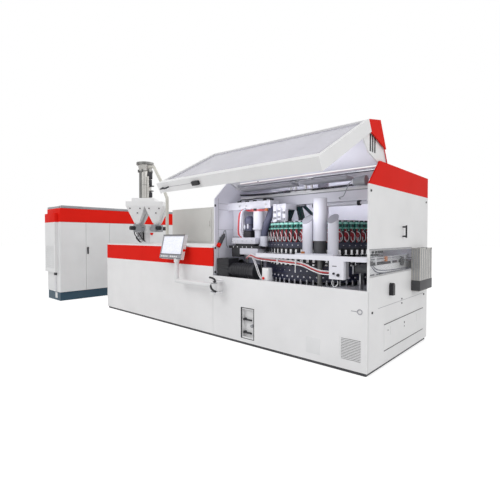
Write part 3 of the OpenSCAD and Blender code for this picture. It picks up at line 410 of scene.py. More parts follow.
def make_piece(name, shape, look, body="machine"):
    """A piece of the scene from its shape, riding on a body."""
    bmesh.ops.recalc_face_normals(shape, faces=shape.faces)
    mesh = bpy.data.meshes.new(name)
    shape.to_mesh(mesh)
    shape.free()
    mesh.materials.append(look)
    mesh.shade_smooth()
    mesh.set_sharp_from_angle(angle=math.radians(SHARP_ANGLE))
    piece = bpy.data.objects.new(name, mesh)
    SCENE.collection.objects.link(piece)
    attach(piece, body)


def shapes(count):
    """Empty meshes to add shapes to."""
    return [bmesh.new() for _ in range(count)]


# The moulding carousel
def carousel_tools():
    """Collars, clamps and nuts on each moulding unit."""
    collars, clamps, nuts = shapes(3)
    for i in range(UNITS):
        here = unit(i)
        gap = unit(i + 0.5)
        add_post(collars, UNIT_R, 0, 1150, 1172, 73, place=here)
        add_post(collars, UNIT_R, 0, 1120, 1131, 76, place=here)
        add_box(clamps, (806, -8, 1119), (838, 8, 1222), 2, gap)
        add_box(clamps, (796, -11, 1284), (832, 11, 1356), 2, gap)
        add_post(nuts, UNIT_R, 0, 1336, 1356, 60, sides=6, place=here)
    make_piece("mould_collars", collars, DARK, "carousel")
    make_piece("mould_clamps", clamps, BLACK, "carousel")
    make_piece("punch_nuts", nuts, DARK, "carousel")


def carousel_drum_details():
    """Caps, screws, studs and seams on the drums."""
    caps, screws, studs, seams = shapes(4)
    for i in range(UNITS):
        here = unit(i)
        gap = unit(i + 0.5)
        add_rod(caps, (DRUM_R - 2, 0, 985), (DRUM_R + 8, 0, 985), 24, 18, place=gap)
        add_rod(screws, (DRUM_R - 2, 0, 1062), (DRUM_R + 4, 0, 1062), 13, place=here)
        add_rod(screws, (DRUM_R - 2, 0, 1392), (DRUM_R + 5, 0, 1392), 13, place=gap)
        add_post(studs, DRUM_R + 9, 0, 890, 952, 24, place=here)
    for z in (1012, 1100, 1368):
        add_loop(seams, (0, 0, z), 2 * DRUM_R, 6, place=unit(0), count=48)
    make_piece("drum_bolt_caps", caps, WHITE_HOSE, "carousel")
    make_piece("drum_screws", screws, TURNED, "carousel")
    make_piece("drum_studs", studs, STEEL, "carousel")
    make_piece("drum_seams", seams, DARK, "carousel")


def carousel_hoses():
    """Hoses, bands, spouts and caps at each unit's head."""
    white, black, bands, spouts, caps = shapes(5)
    for i in range(UNITS):
        here = unit(i)
        add_tube(white, [(828, -18, 1566), (842, 10, 1552), (845, 26, 1512), (845, 22, 1466), (844, 0, 1444),
                         (843, -21, 1462), (842, -27, 1502)], 8, here)
        for side in (-1, 1):
            add_tube(black, [(806, side * 20, 1606), (824, side * 34, 1540), (826, side * 34, 1480),
                             (816, side * 26, 1426)], 15, here)
        add_post(bands, UNIT_R, 0, 1662, 1684, 72, place=here)
        add_post(bands, UNIT_R, 0, 1604, 1616, 71, place=here)
        add_rod(spouts, (828, 0, 1646), (850, 0, 1634), 24, 18, place=here)
        add_post(caps, UNIT_R, 0, 1688, 1706, 46, 38, place=here)
    make_piece("unit_white_hoses", white, WHITE_HOSE, "carousel")
    make_piece("unit_black_hoses", black, BLACK, "carousel")
    make_piece("head_bands", bands, MINT, "carousel")
    make_piece("head_spouts", spouts, BLACK, "carousel")
    make_piece("head_caps", caps, DARK, "carousel")


def feed_hose_details():
    """Edges and clips of the fixed feed hoses."""
    stripes, clips = shapes(2)
    for top, foot in ((-289, -373), (-235, -319), (-185, -127), (-131, -73), (-77, 138)):
        for side in (-FEED_EDGE, FEED_EDGE):
            add_rod(stripes, (AXIS_X + top + side, FEED_Y - FEED_EDGE, FEED_TOP_Z),
                    (AXIS_X + foot + side, FEED_Y - FEED_EDGE, FEED_FOOT_Z), 5)
        add_box(clips, (AXIS_X + top - 27, FEED_Y - 27, 1930), (AXIS_X + top + 27, FEED_Y + 27, 1954), 3)
    make_piece("feed_hose_edges", stripes, TEAL)
    make_piece("feed_hose_clips", clips, DARK_GREY_AND_PAINTED_SHADE)


# Pieces in the chamber
def chamber_details():
    """Column sleeve, tube caps, valve box and the hoses along the rail."""
    sleeve, caps, box, dots = shapes(4)
    add_post(sleeve, STAR_X, STAR_Y, 1284, 1452, 156, 150, sides=40)
    make_piece("column_sleeve", sleeve, DARK)
    slant = Matrix.Rotation(math.radians(TUBE_CUT), 4, "X")
    stretch = Matrix.Diagonal((1, 1 / math.cos(math.radians(TUBE_CUT)), 1, 1))
    for x in TUBES_X:
        top = MACHINE @ Matrix.Translation((x, TUBE_Y, TUBE_CUT_Z)) @ slant @ stretch
        add_post(caps, 0, 0, 0, 5, 132, sides=40, place=top)
    make_piece("tube_caps", caps, DARK_GREY_AND_PAINTED_SHADE)
    add_box(box, (4215, 40, 880), (4325, 120, 1085), 5)
    add_box(box, (4230, 34, 905), (4310, 42, 1060), 3)
    make_piece("valve_box", box, WHITE)
    add_rod(dots, (4246, 36, 948), (4246, 22, 948), 34)
    make_piece("valve_box_button", dots, RED)
    red, white, clips = shapes(3)
    for y, z in ((2, 4), (14, -6)):
        add_tube(red, [(3880, 90 + y, 1190), (3990, 60 + y, 1240 + z), (4160, 28 + y, 1208 + z),
                       (4480, 20 + y, 1190 + z), (4829, 20 + y, 1168 + z), (5000, 20 + y, 1118 + z),
                       (5120, 20 + y, 1088 + z), (5260, 20 + y, 1086 + z)], 8)
    for y, z in ((4, -14), (18, 12), (8, 24)):
        add_tube(white, [(3880, 100 + y, 1205), (3990, 64 + y, 1234 + z), (4160, 28 + y, 1204 + z),
                         (4480, 20 + y, 1188 + z), (4829, 20 + y, 1164 + z), (5000, 20 + y, 1112 + z),
                         (5120, 20 + y, 1082 + z), (5260, 20 + y, 1080 + z)], 12)
    for shift in (0, 26):
        add_tube(white, [(4010, 70 + shift, 1225), (4100 + shift, 38, 1110), (4160 + shift, 36, 985),
                         (4222 + shift, 48, 900)], 12)
    add_tube(white, [(5285, 28, 1030), (5262, 30, 975), (5290, 30, 930), (5335, 30, 965),
                     (5330, 28, 1030)], 9)
    for x in (4492, 4775):
        add_box(clips, (x - 5, 2, 1146), (x + 5, 40, 1229), 1.5)
    add_post(clips, 4775, 4, 1060, 1150, 10)
    make_piece("rail_red_hoses", red, RED_HOSE)
    make_piece("rail_white_hoses", white, WHITE_HOSE)
    make_piece("rail_clips", clips, WHITE)


def junction_details():
    """Painted shade on the junction box's side, its knobs and plugs, and the sensor on the rail."""
    shade, knobs = shapes(2)
    # A dark grey box behind the junction box: painted shade on its right side
    add_box(shade, (5252, 35, 1024), (5430, 112, 1226), 2)
    make_piece("junction_box_painted_shade_side", shade, DARK_GREY_AND_PAINTED_SHADE)
    for x, z, d in ((5312, 1086, 26), (5366, 1072, 36)):
        add_rod(knobs, (x, -14, z), (x, -34, z), d, d * 0.85)
    add_box(knobs, (5290, -17, 1166), (5345, -14, 1174), 1)
    for x in (5285, 5332):
        add_post(knobs, x, 28, 1024, 1004, 22, sides=6)
    make_piece("junction_box_knobs", knobs, BLACK)
    sensor = bmesh.new()
    add_box(sensor, (4868, -10, 1282), (4900, 24, 1322), 2)
    make_piece("rail_sensor", sensor, ORANGE)


def partition_details():
    """Latches and seams of the partition, and the hand tool that hangs on it."""
    latches, grip, end, bracket, seams = shapes(5)
    for z in (1967, 1329, 967):
        add_box(latches, (3296, 24, z - 16), (3305, 50, z + 16), 2)
    make_piece("partition_latches", latches, BLACK)
    add_rod(grip, (3335, 92, 1392), (3335, 178, 1516), 66, 60)
    add_rod(grip, (3335, 178, 1516), (3335, 196, 1541), 44, 30)
    make_piece("hand_tool_grip", grip, DARK)
    add_rod(end, (3335, 64, 1350), (3335, 92, 1392), 60, 66)
    make_piece("hand_tool_end", end, RED)
    add_tube(bracket, [(3306, 196, 1541), (3306, 214, 1580), (3306, 250, 1588), (3306, 262, 1480),
                       (3306, 268, 1380), (3306, 300, 1330)], 12)
    add_box(bracket, (3299, 120, 1420), (3312, 160, 1500), 2)
    make_piece("hand_tool_bracket", bracket, DEVICE)
    for y, top in ((100, 2080), (417, 2000)):
        add_box(seams, (PARTITION_X, y, 1000), (PARTITION_X + 2, y + 4, top), 0)
    for z in (2003, 1908, 1604):
        add_box(seams, (PARTITION_X, 100, z), (PARTITION_X + 2, 417, z + 4), 0)
    make_piece("partition_seams", seams, DARK_GREY_AND_PAINTED_SHADE)


def inserter_details():
    """The unit at the left of the chamber, with its motor, hoses and valves."""
    dark, white, red, pale, orange, valves = shapes(6)
    add_box(dark, (3490, 195, 1205), (3655, 300, 1331), 5)
    add_box(dark, (3430, 195, 1331), (4050, 330, 1368), 4)
    add_box(dark, (3560, 205, 1367), (3920, 320, 1396), 3)
    add_box(dark, (3690, 232, 1480), (3830, 368, 1572), 6)
    for z in (1580, 1672):
        add_loop(dark, (MOTOR_X, INSERTER_Y, z), 138, 14, count=24)
    add_box(dark, (3905, 212, 1868), (3955, 240, 1900), 4)
    for z in (950, 1010, 1070, 1130):
        add_box(dark, (3372, 34, z), (3568, 44, z + 26), 3)
    for x in range(3640, 4000, 45):
        add_loop(dark, (x, 150, 1010), 222, 12, "X", count=20)
    make_piece("inserter_dark_parts", dark, BLACK)
    blue = bmesh.new()
    add_post(blue, MOTOR_X, INSERTER_Y, 1570, 1760, 132, sides=32)
    add_post(blue, MOTOR_X, INSERTER_Y, 1760, 1800, 132, 84, sides=32)
    add_tube(blue, [(4120, 380, 1912), (4122, 350, 1850), (4095, 318, 1740), (4062, 305, 1640),
                    (4040, 302, 1560), (4030, 300, 1500)], 96, sides=16)
    make_piece("inserter_motor_and_duct", blue, BLUE_HOSE)
    add_post(white, DUCT_X, INSERTER_Y, 1362, 1506, 112, sides=28)
    for x, z in ((3712, 1642), (3772, 1650)):
        add_box(white, (x, 226, z - 34), (x + 20, 244, z + 34), 3)
    add_box(white, (3505, 185, 1395), (3970, 330, 1488), 14)
    add_box(white, (3660, 190, 1240), (4005, 320, 1332), 8)
    add_post(white, SPINDLE_X, INSERTER_Y, 1606, 1906, 150, sides=36)
    add_post(white, SPINDLE_X, INSERTER_Y, 1480, 1612, 108, sides=36)
    add_post(white, SPINDLE_X, INSERTER_Y, 1600, 1622, 168, sides=36)
    add_tube(white, [(3680, 330, 1912), (3650, 262, 1880), (3625, 255, 1740), (3625, 255, 1560),
                     (3690, 262, 1480)], 34, sides=14)
    make_piece("inserter_white_parts", white, COLUMN_GREY)
    for shift in (0, 16):
        add_tube(red, [(3660, 250 + shift, 1900), (3612 - shift, 250, 1840), (3590 - shift, 250, 1700),
                       (3590 - shift, 250, 1540), (3650, 250 + shift, 1480)], 11)
        add_tube(red, [(3690, 290 + shift, 1890), (3780, 285, 1872 + shift), (3900, 215, 1868 + shift),
                       (4060, 285, 1868 + shift)], 11)
    make_piece("inserter_red_hoses", red, RED_HOSE)
    for x in (3560, 3680, 4060):
        add_rod(pale, (x, 312, 1955), (x, 298, 1955), 34)
    for x in (3540, 3620, 3720, 3800, 3900):
        add_rod(pale, (x, 188, 1440), (x, 174, 1440), 20)
        add_rod(pale, (x, 198, 1350), (x, 184, 1350), 16)
    make_piece("inserter_fasteners", pale, TURNED)
    for x in (3850, 4075):
        add_box(orange, (x, 268, 1862), (x + 34, 300, 1900), 3)
    make_piece("inserter_sensors", orange, ORANGE)
    add_box(valves, (4178, 320, 1700), (4240, 390, 1955), 5)
    add_box(valves, (4262, 310, 1730), (4322, 390, 1900), 5)
    add_box(valves, (4340, 320, 1690), (4388, 390, 1885), 5)
    add_box(valves, (4170, 330, 1880), (4390, 591, 1955), 3)
    make_piece("valve_manifold", valves, CHAMBER_WHITE)
    plugs = bmesh.new()
    for x, z in ((4208, 1760), (4208, 1840), (4292, 1770), (4292, 1850), (4364, 1740), (4364, 1830)):
        add_box(plugs, (x - 20, 300, z - 16), (x + 20, 322, z + 16), 3)
    make_piece("valve_manifold_plugs", plugs, DARK_GREY_AND_PAINTED_SHADE)


def ceiling_details():
    """Lamp bar and its painted shadow line, frames, dark plates of painted shade, cables, work lamp and pipe
    under the roof.
    """
    lamp_bar, lamp_bar_shadow, frames, ceiling_shade, lamp, lens, pipe, collar = shapes(8)
    add_box(lamp_bar, (3320, 572, 2094), (5640, 592, 2126), 3)
    make_piece("ceiling_lamp_bar", lamp_bar, WHITE)
    # A thin dark line under the lamp bar: painted shadow
    add_box(lamp_bar_shadow, (3320, 584, 2084), (5640, 592, 2094), 0.5)
    make_piece("ceiling_lamp_bar_painted_shadow", lamp_bar_shadow, DARK_GREY_AND_PAINTED_SHADE)
    for x in (4296, 4376, 4538, 4634):
        add_box(frames, (x, 560, 2120), (x + 24, 590, 2300), 2)
    for z in (2124, 2276):
        add_box(frames, (4296, 560, z), (4658, 590, z + 22), 2)
    make_piece("ceiling_frames", frames, WHITE)
    # Dark plates under the roof: painted shade of the ceiling
    add_box(ceiling_shade, (3560, 300, 2190), (4500, 480, 2230), 4)
    add_box(ceiling_shade, (4640, 300, 2190), (5300, 480, 2230), 4)
    make_piece("ceiling_painted_shade_plates", ceiling_shade, DARK_GREY_AND_PAINTED_SHADE)
    cables = bmesh.new()
    for y, z, d in ((574, 2136, 16), (556, 2148, 12)):
        add_tube(cables, [(3322, y, z + 20), (3600, y, z + 6), (3900, y, z), (4200, y, z + 4),
                          (4560, y, z - 2), (5000, y, z + 3), (5638, y, z + 12)], d)
    for x in (3480, 3640, 3790, 3980, 4110):
        add_box(cables, (x, 330, 2014), (x + 46, 372, 2040), 4)
    add_tube(cables, [(3503, 350, 2036), (3580, 352, 2060), (3720, 352, 2050), (3850, 352, 2062),
                      (4000, 352, 2050), (4133, 350, 2036)], 14)
    make_piece("ceiling_cables", cables, BLACK)
    add_rod(lamp, (5350, LAMP_Y, LAMP_Z), (5500, LAMP_Y, LAMP_Z), 96, 124, sides=32)
    add_tube(lamp, [(5350, LAMP_Y, LAMP_Z), (5286, LAMP_Y, 2150), (5240, LAMP_Y, 2060), (5205, LAMP_Y, 1998),
                    (5140, 420, 1986), (5066, 588, 1986)], 12)
    make_piece("work_lamp", lamp, DEVICE)
    add_rod(lens, (5352, LAMP_Y, LAMP_Z), (5330, LAMP_Y, LAMP_Z), 88, 66, sides=32)
    make_piece("work_lamp_lens", lens, WHITE_HOSE)
    add_rod(pipe, (4640, PIPE_Y, PIPE_Z), (5290, PIPE_Y, PIPE_Z), 56, sides=24)
    add_rod(pipe, (5290, PIPE_Y, PIPE_Z), (5660, PIPE_Y, PIPE_Z), 30, sides=20)
    make_piece("ceiling_pipe", pipe, CHAMBER_WHITE)
    add_rod(collar, (5288, PIPE_Y, PIPE_Z), (5322, PIPE_Y, PIPE_Z), 66, sides=24)
    add_rod(collar, (4640, PIPE_Y, PIPE_Z), (4664, PIPE_Y, PIPE_Z), 66, sides=24)
    make_piece("ceiling_pipe_collars", collar, BLACK)


# Walls, covers and the conveyor window
def front_details():
    """Frame and knob of the niche, the plain plate and the ring mark on the front."""
    frame_bars, knob, plate, ring = shapes(4)
    add_box(frame_bars, (3866, -3, 92), (3886, 4, 518), 1)
    add_box(frame_bars, (4100, -3, 92), (4110, 4, 518), 1)
    add_box(frame_bars, (3866, -3, 510), (4110, 4, 520), 1)
    add_box(frame_bars, (3866, -3, 90), (4110, 4, 98), 1)
    make_piece("niche_frame", frame_bars, BLACK)
    add_rod(knob, (4040, 62, 270), (4040, 22, 270), 46, 40)
    make_piece("niche_knob", knob, DEVICE)
    add_box(plate, (4938, -2, 119), (5131, 1, 308), 1)
    make_piece("front_plate", plate, GREY)
    add_loop(ring, (5616, -3, 692), 52, 9, "Y", count=20)
    add_box(ring, (5515, -3, 689), (5592, 0.5, 695), 0.5)
    make_piece("front_ring", ring, DARK_GREY_AND_PAINTED_SHADE)


def end_wall_details():
    """Seams, hatch edges and fasteners of the end wall."""
    lines, dots = shapes(2)
    add_box(lines, (END_X - 1, 276, 698), (END_X + 1.5, 1849, 702), 0.4)
    add_box(lines, (END_X - 1, 40, 1361), (END_X + 6, 1352, 1367), 0.6)
    make_piece("end_wall_seam", lines, DARK_GREY_AND_PAINTED_SHADE)
    lines = bmesh.new()
    add_box(lines, (END_X, 450, 485), (END_X + 5, 1845, 492), 0.6)
    add_box(lines, (END_X, 450, 181), (END_X + 5, 1845, 188), 0.6)
    make_piece("hatch_edges", lines, DARK)
    for y, z, d in ((1006, 722, 20), (1006, 668, 20), (1100, 410, 22), (1100, 360, 14), (560, 408, 14)):
        add_rod(dots, (END_X - 1, y, z), (END_X + 7, y, z), d)
    for y in (1618, 1836):
        add_rod(dots, (5812, y, 1342), (5806, y, 1342), 22)
    make_piece("end_wall_fasteners", dots, DARK)


# Panels of the walls that the photograph doesn't show
MOULDING_PANELS = (3290, 4090, 4890, 5680)
COUNTER_PANELS = (0, 820, 1640, 2460, 3284)
HOUSING_PANELS = (60, 1130, 2200, 3270)
LEFT_END_PANELS = (30, 1015, 2020)
CABINET_PANELS = (CABINET_END_Y, 421, 1221, 2021, 2821)
LOCK_INSET = 70
LOCK_RISE = 90
GRIP_DROP = 150
GRIP_HALF = 60
GRIP_D = 14
GRIP_OUT = 30
SLAT_PITCH = 40
SLAT_H = 24


def panel_wall(parts, place, edges, z0, z1, louvres=()):
    """Upright joints, locks, grips and louvres of a wall of panels, on a place whose y points outwards."""
    joints, locks, backs, slats = parts
    for x in edges[1:-1]:
        add_box(joints, (x - 2, -1, z0), (x + 2, 1.5, z1), 0.4, place)
    for x0, x1 in zip(edges, edges[1:]):
        for x in (x0 + LOCK_INSET, x1 - LOCK_INSET):
            for z in (z0 + LOCK_RISE, z1 - LOCK_RISE):
                add_rod(locks, (x, -1, z), (x, 7, z), 36, 30, place=place)
                add_box(locks, (x - 3, 6, z - 11), (x + 3, 9, z + 11), 0.8, place)
        middle = (x0 + x1) / 2
        grip_z = z1 - GRIP_DROP
        for x in (middle - GRIP_HALF, middle + GRIP_HALF):
            add_rod(locks, (x, -1, grip_z), (x, GRIP_OUT, grip_z), GRIP_D, sides=12, place=place)
        grip_start = (middle - GRIP_HALF - 10, GRIP_OUT, grip_z)
        grip_end = (middle + GRIP_HALF + 10, GRIP_OUT, grip_z)
        add_rod(locks, grip_start, grip_end, GRIP_D, sides=12, place=place)
    for x0, x1, low, high in louvres:
        add_box(backs, (x0, -1, low), (x1, 1, high), 0.4, place)
        for z in range(low + 10, high - SLAT_H, SLAT_PITCH):
            add_box(slats, (x0 - 8, -1, z), (x1 + 8, 10, z + SLAT_H), 3, place)


def rear_details():
    """Panels on the backs and the left end, which the photograph doesn't show, and the lifting eyes."""
    parts = shapes(4)
    rear = MACHINE @ Matrix.Translation((0, BASE_W, 0))
    low_louvres = ((3440, 3940, 300, 740), (5030, 5530, 300, 740))
    counter_louvres = ((980, 1480, 280, 760), (2620, 3120, 280, 760))
    panel_wall(parts, rear, MOULDING_PANELS, 50, 1255, low_louvres)
    panel_wall(parts, rear, MOULDING_PANELS, 1265, 2310, ((4240, 4740, 1500, 1900),))
    panel_wall(parts, rear, COUNTER_PANELS, 50, 1340, counter_louvres)
    panel_wall(parts, rear, HOUSING_PANELS, 1362, 2130)
    quarter = Matrix.Rotation(math.radians(90), 4, "Z")
    panel_wall(parts, MACHINE @ quarter, LEFT_END_PANELS, 50, 1040, ((330, 730, 320, 760),))
    cabinet_back = MACHINE @ Matrix.Translation((CABINET_BACK_X, 0, 0)) @ quarter
    panel_wall(parts, cabinet_back, CABINET_PANELS, 210, 2200, ((560, 1080, 1700, 1980),))
    joints, locks, backs, slats = parts
    left, right = MOULDING_PANELS[0], MOULDING_PANELS[-1]
    add_box(joints, (left, BASE_W - 1, 1258), (right, BASE_W + 1.5, 1262), 0.4)
    for x in MOULDING_PANELS[1:-1]:
        add_box(joints, (x - 2, 720, ROOF_Z - 1), (x + 2, 2010, ROOF_Z + 1.5), 0.4)
    make_piece("rear_panel_joints", joints, DARK_GREY_AND_PAINTED_SHADE)
    make_piece("rear_panel_locks", locks, BLACK)
    make_piece("rear_louvre_backs", backs, DARK)
    make_piece("rear_louvre_slats", slats, WHITE)
    eyes = bmesh.new()
    for x in (3450, 5550):
        for y in (850, 1900):
            add_post(eyes, x, y, ROOF_Z - 1, ROOF_Z + 10, 60, 54, sides=24)
            add_loop(eyes, (x, y, ROOF_Z + 32), 46, 14, "X", count=20)
    make_piece("roof_lifting_eyes", eyes, DARK)


def conveyor_details():
    """Sensor, wheel, rods and air lines in the window, and the outfeed box's foot and strips."""
    orange, dark, rods = shapes(3)
    add_box(orange, (5650, 556, 1212), (5676, 606, 1272), 3)
    make_piece("conveyor_sensor", orange, ORANGE)
    add_rod(dark, (5640, WHEEL_Y, WHEEL_Z), (5672, WHEEL_Y, WHEEL_Z), 120, sides=32)
    add_rod(dark, (5636, WHEEL_Y, WHEEL_Z), (5676, WHEEL_Y, WHEEL_Z), 40, sides=24)
    add_box(dark, (5640, 150, 1185), (5668, 210, 1230), 3)
    make_piece("conveyor_hand_wheel", dark, BLACK)
    for z in (1236, 1262):
        add_rod(rods, (5660, 160, z), (5660, 1340, z), 12, sides=12)
    for y in (300, 760, 1240):
        add_box(rods, (5650, y, 1170), (5664, y + 18, 1270), 2)
    make_piece("conveyor_side_rods", rods, STEEL)
    lines, foot, strips = shapes(3)
    for shift in (0, 30):
        add_tube(lines, [(5655, 170, 1215 - shift), (5662, 300, 1140 - shift), (5662, 480, 1112 - shift),
                         (5662, 760, 1100 - shift), (5662, 1060, 1098 - shift),
                         (5662, 1320, 1096 - shift)], 10)
    make_piece("conveyor_air_lines", lines, BLUE_HOSE)
    add_box(foot, (5702, 1347, 790), (5813, 1866, 925), 3)
    for y in (1490, 1660):
        add_box(foot, (5720, y, 1345), (5790, y + 90, 1354), 2)
    make_piece("outfeed_box_foot", foot, DARK)
    for k in range(6):
        add_box(strips, (5808, 1400 + 80 * k, 930), (5813, 1412 + 80 * k, 1340), 1)
    for x in (5724, 5756, 5788):
        add_box(strips, (x, 1346, 930), (x + 10, 1352, 1340), 1)
    make_piece("outfeed_box_strips", strips, DEVICE)


# Guard door, in the places of the shut door
def door_details():
    """Lining, ribs, grip line and slot fill of the guard door."""
    lining, inserts, ribs, line = shapes(4)
    inner = [(-105, 2070), (-11, 2349), (479, 2349)]
    for (y0, z0), (y1, z1) in zip(inner, inner[1:]):
        run = Vector((0, y1 - y0, z1 - z0))
        out = Vector((0, run.z, -run.y)).normalized() * 2
        start, end = Vector((0, y0, z0)) + out, Vector((0, y1, z1)) + out
        for x0, x1 in ((3307, 3308), (3328, 5652), (5672, 5677)):
            corners = [(x0, start.y, start.z), (x1, start.y, start.z), (x1, end.y, end.z), (x0, end.y, end.z)]
            lower = [lining.verts.new(DOOR @ Vector(c)) for c in corners]
            upper = [lining.verts.new(DOOR @ (Vector(c) + out * 0.5)) for c in corners]
            lining.faces.new(lower)
            lining.faces.new(upper)
            for k in range(4):
                near = (k + 1) % 4
                lining.faces.new((lower[k], lower[near], upper[near], upper[k]))
    make_piece("door_lining", lining, CHAMBER_WHITE, "guard_door")
    for x in (3420, 4000, 4600, 5200, 5560):
        add_box(ribs, (x, -96, 1040), (x + 26, -84, 2040), 2, DOOR)
    make_piece("door_ribs", ribs, CHAMBER_WHITE, "guard_door")
    add_box(line, (3400, -54, 928), (3996, -50, 931), 0.5, DOOR)
    make_piece("door_grip_line", line, DARK_GREY_AND_PAINTED_SHADE, "guard_door")
    for i in (-1, 0, 1):
        add_box(inserts, (5655, 170 + i * 58 - 18, 2422), (5669, 170 + i * 58 + 18, 2610), 1)
    make_piece("door_slot_fill", inserts, BLACK, "guard_door")


# Operator panel
def panel_details():
    """Display, bezel, keys and stop button of the panel, and the rings and levers of its arm."""
    display, bezel, keys, stop, rings = shapes(5)
    add_box(display, (-258, -27, 82), (258, -24, 368), 0.8, PANEL)
    make_piece("panel_display", display, SCREEN, "operator_panel")
    for low, high in (((-288, -33, 374), (288, -29, 398)), ((-288, -33, 2), (288, -29, 74)),
                      ((-288, -33, 74), (-264, -29, 374)), ((264, -33, 74), (288, -29, 374))):
        add_box(bezel, low, high, 1.5, PANEL)
    make_piece("panel_bezel", bezel, DARK_GREY_AND_PAINTED_SHADE, "operator_panel")
    trim = bmesh.new()
    for z0, z1 in ((388, 400), (70, 78), (0, 8)):
        add_box(trim, (-289, -35, z0), (289, -30, z1), 1, PANEL)
    make_piece("panel_trim_lines", trim, BLACK, "operator_panel")
    for k in range(9):
        if k != 4:
            add_box(keys, (-250 + k * 50, -37, 24), (-214 + k * 50, -32, 50), 2, PANEL)
    make_piece("panel_keys", keys, GREY, "operator_panel")
    add_rod(stop, (288, 0, 150), (312, 0, 150), 44, 38, place=PANEL)
    make_piece("panel_stop", stop, RED, "operator_panel")
    for z in (706, 826):
        add_post(rings, ARM_X, ARM_Y, z, z + 12, 97, sides=36)
    make_piece("arm_pivot_rings", rings, DEVICE, "arm")
    upper, lower = shapes(2)
    add_tube(upper, [(3488, -170, 855), (3530, -184, 857), (3543, -190, 868), (3526, -190, 892),
                     (3484, -190, 908), (3424, -188, 914)], 29, sides=12)
    make_piece("lug_clamp_lever", upper, BLACK)
    add_tube(lower, [(3446, -166, 812), (3449, -188, 788), (3472, -192, 752), (3512, -190, 730),
                     (3552, -186, 721)], 30, sides=12)
    make_piece("arm_clamp_lever", lower, BLACK, "arm")


# Electrical cabinet
def cabinet_details():
    """Red end band, cooler fittings, plinth plate and top rails of the cabinet."""
    band, plug, tubes, plate = shapes(4)
    add_box(band, (-2233, -456, 1833), (-1609, -453, 2041), 1)
    add_box(band, (-1612, -455, 1833), (-1609, CABINET_END_Y, 2041), 1)
    add_box(band, (CABINET_BACK_X, CABINET_END_Y - 2.5, 1840), (-1504, CABINET_END_Y + 0.5, 2160), 1)
    make_piece("cabinet_end_band", band, RED)
    add_box(plug, (-1812, -412, 590), (-1772, -378, 655), 3)
    add_box(plug, (-1752, -412, 590), (-1712, -378, 655), 3)
    make_piece("cooler_connectors", plug, BLACK)
    for x in (-1792, -1732):
        add_tube(tubes, [(x, -393, 592), (x, -393, 420), (x, -393, 205)], 28, sides=12)
    make_piece("cooler_drain_tubes", tubes, WHITE_HOSE)
    add_box(plate, (-1830, -374, 50), (-1710, -365, 180), 2)
    make_piece("plinth_plate", plate, GREY)
    rail = bmesh.new()
    add_box(rail, (-1530, -350, 2166), (-1506, 2815, 2222), 3)
    add_box(rail, (-2270, -381, 2166), (-1560, -366, 2206), 3)
    make_piece("cabinet_top_rails", rail, DEVICE)


# Dosing unit
def dosing_lines(steel, dark):
    """Struts from the feeders to the throat, and the air lines and valves between them."""
    for start, end in (((590, 372, 1604), (505, 548, 1400)), ((342, 620, 1604), (404, 600, 1400)),
                       ((590, 372, 1740), (420, 470, 1500)), ((342, 620, 1740), (430, 520, 1480))):
        add_rod(steel, start, end, 30, sides=14)
    add_box(steel, (388, 470, 1430), (470, 560, 1560), 6)
    add_box(steel, (520, 330, 1590), (660, 420, 1606), 3)
    add_box(steel, (300, 540, 1590), (400, 700, 1606), 3)
    add_rod(steel, (430, 430, 1520), (430, 500, 1520), 74, sides=20)
    add_rod(steel, (470, 400, 1610), (470, 520, 1560), 60, 44, sides=20)
    for x, y in ((470, 400), (400, 470)):
        add_post(steel, x, y, 1600, 1850, 34, sides=16)
        add_post(steel, x, y, 1720, 1790, 84, 70, sides=20)
        add_box(dark, (x - 32, y - 32, 1640), (x + 32, y + 32, 1690), 6)
        add_box(dark, (x - 24, y - 24, 1830), (x + 24, y + 24, 1880), 6)
    add_rod(steel, (590, 372, 1660), (342, 620, 1660), 30, sides=14)
    add_post(steel, 470, 492, 1660, 1470, 24, sides=14)
    for points in ([(450, 410, 1830), (390, 420, 1760), (380, 440, 1660), (430, 450, 1560)],
                   [(480, 420, 1850), (530, 400, 1780), (520, 410, 1690), (470, 450, 1600), (450, 480, 1540)],
                   [(590, 320, 1640), (540, 318, 1570), (470, 400, 1500), (450, 480, 1420), (470, 535, 1362)],
                   [(330, 570, 1640), (322, 520, 1560), (360, 470, 1470), (430, 490, 1400), (450, 530, 1362)],
                   [(560, 330, 1770), (500, 340, 1700), (440, 400, 1630), (420, 460, 1540)],
                   [(350, 560, 1770), (360, 500, 1700), (400, 450, 1640), (440, 470, 1540)],
                   [(620, 340, 1620), (640, 380, 1540), (590, 470, 1450), (560, 560, 1400)]):
        add_tube(dark, points, 20, sides=10)
    add_box(dark, (556, 498, 1430), (584, 526, 1600), 4)
    add_post(dark, 570, 512, 1600, 1640, 20, sides=14)
    add_box(dark, (400, 452, 1560), (448, 500, 1620), 5)


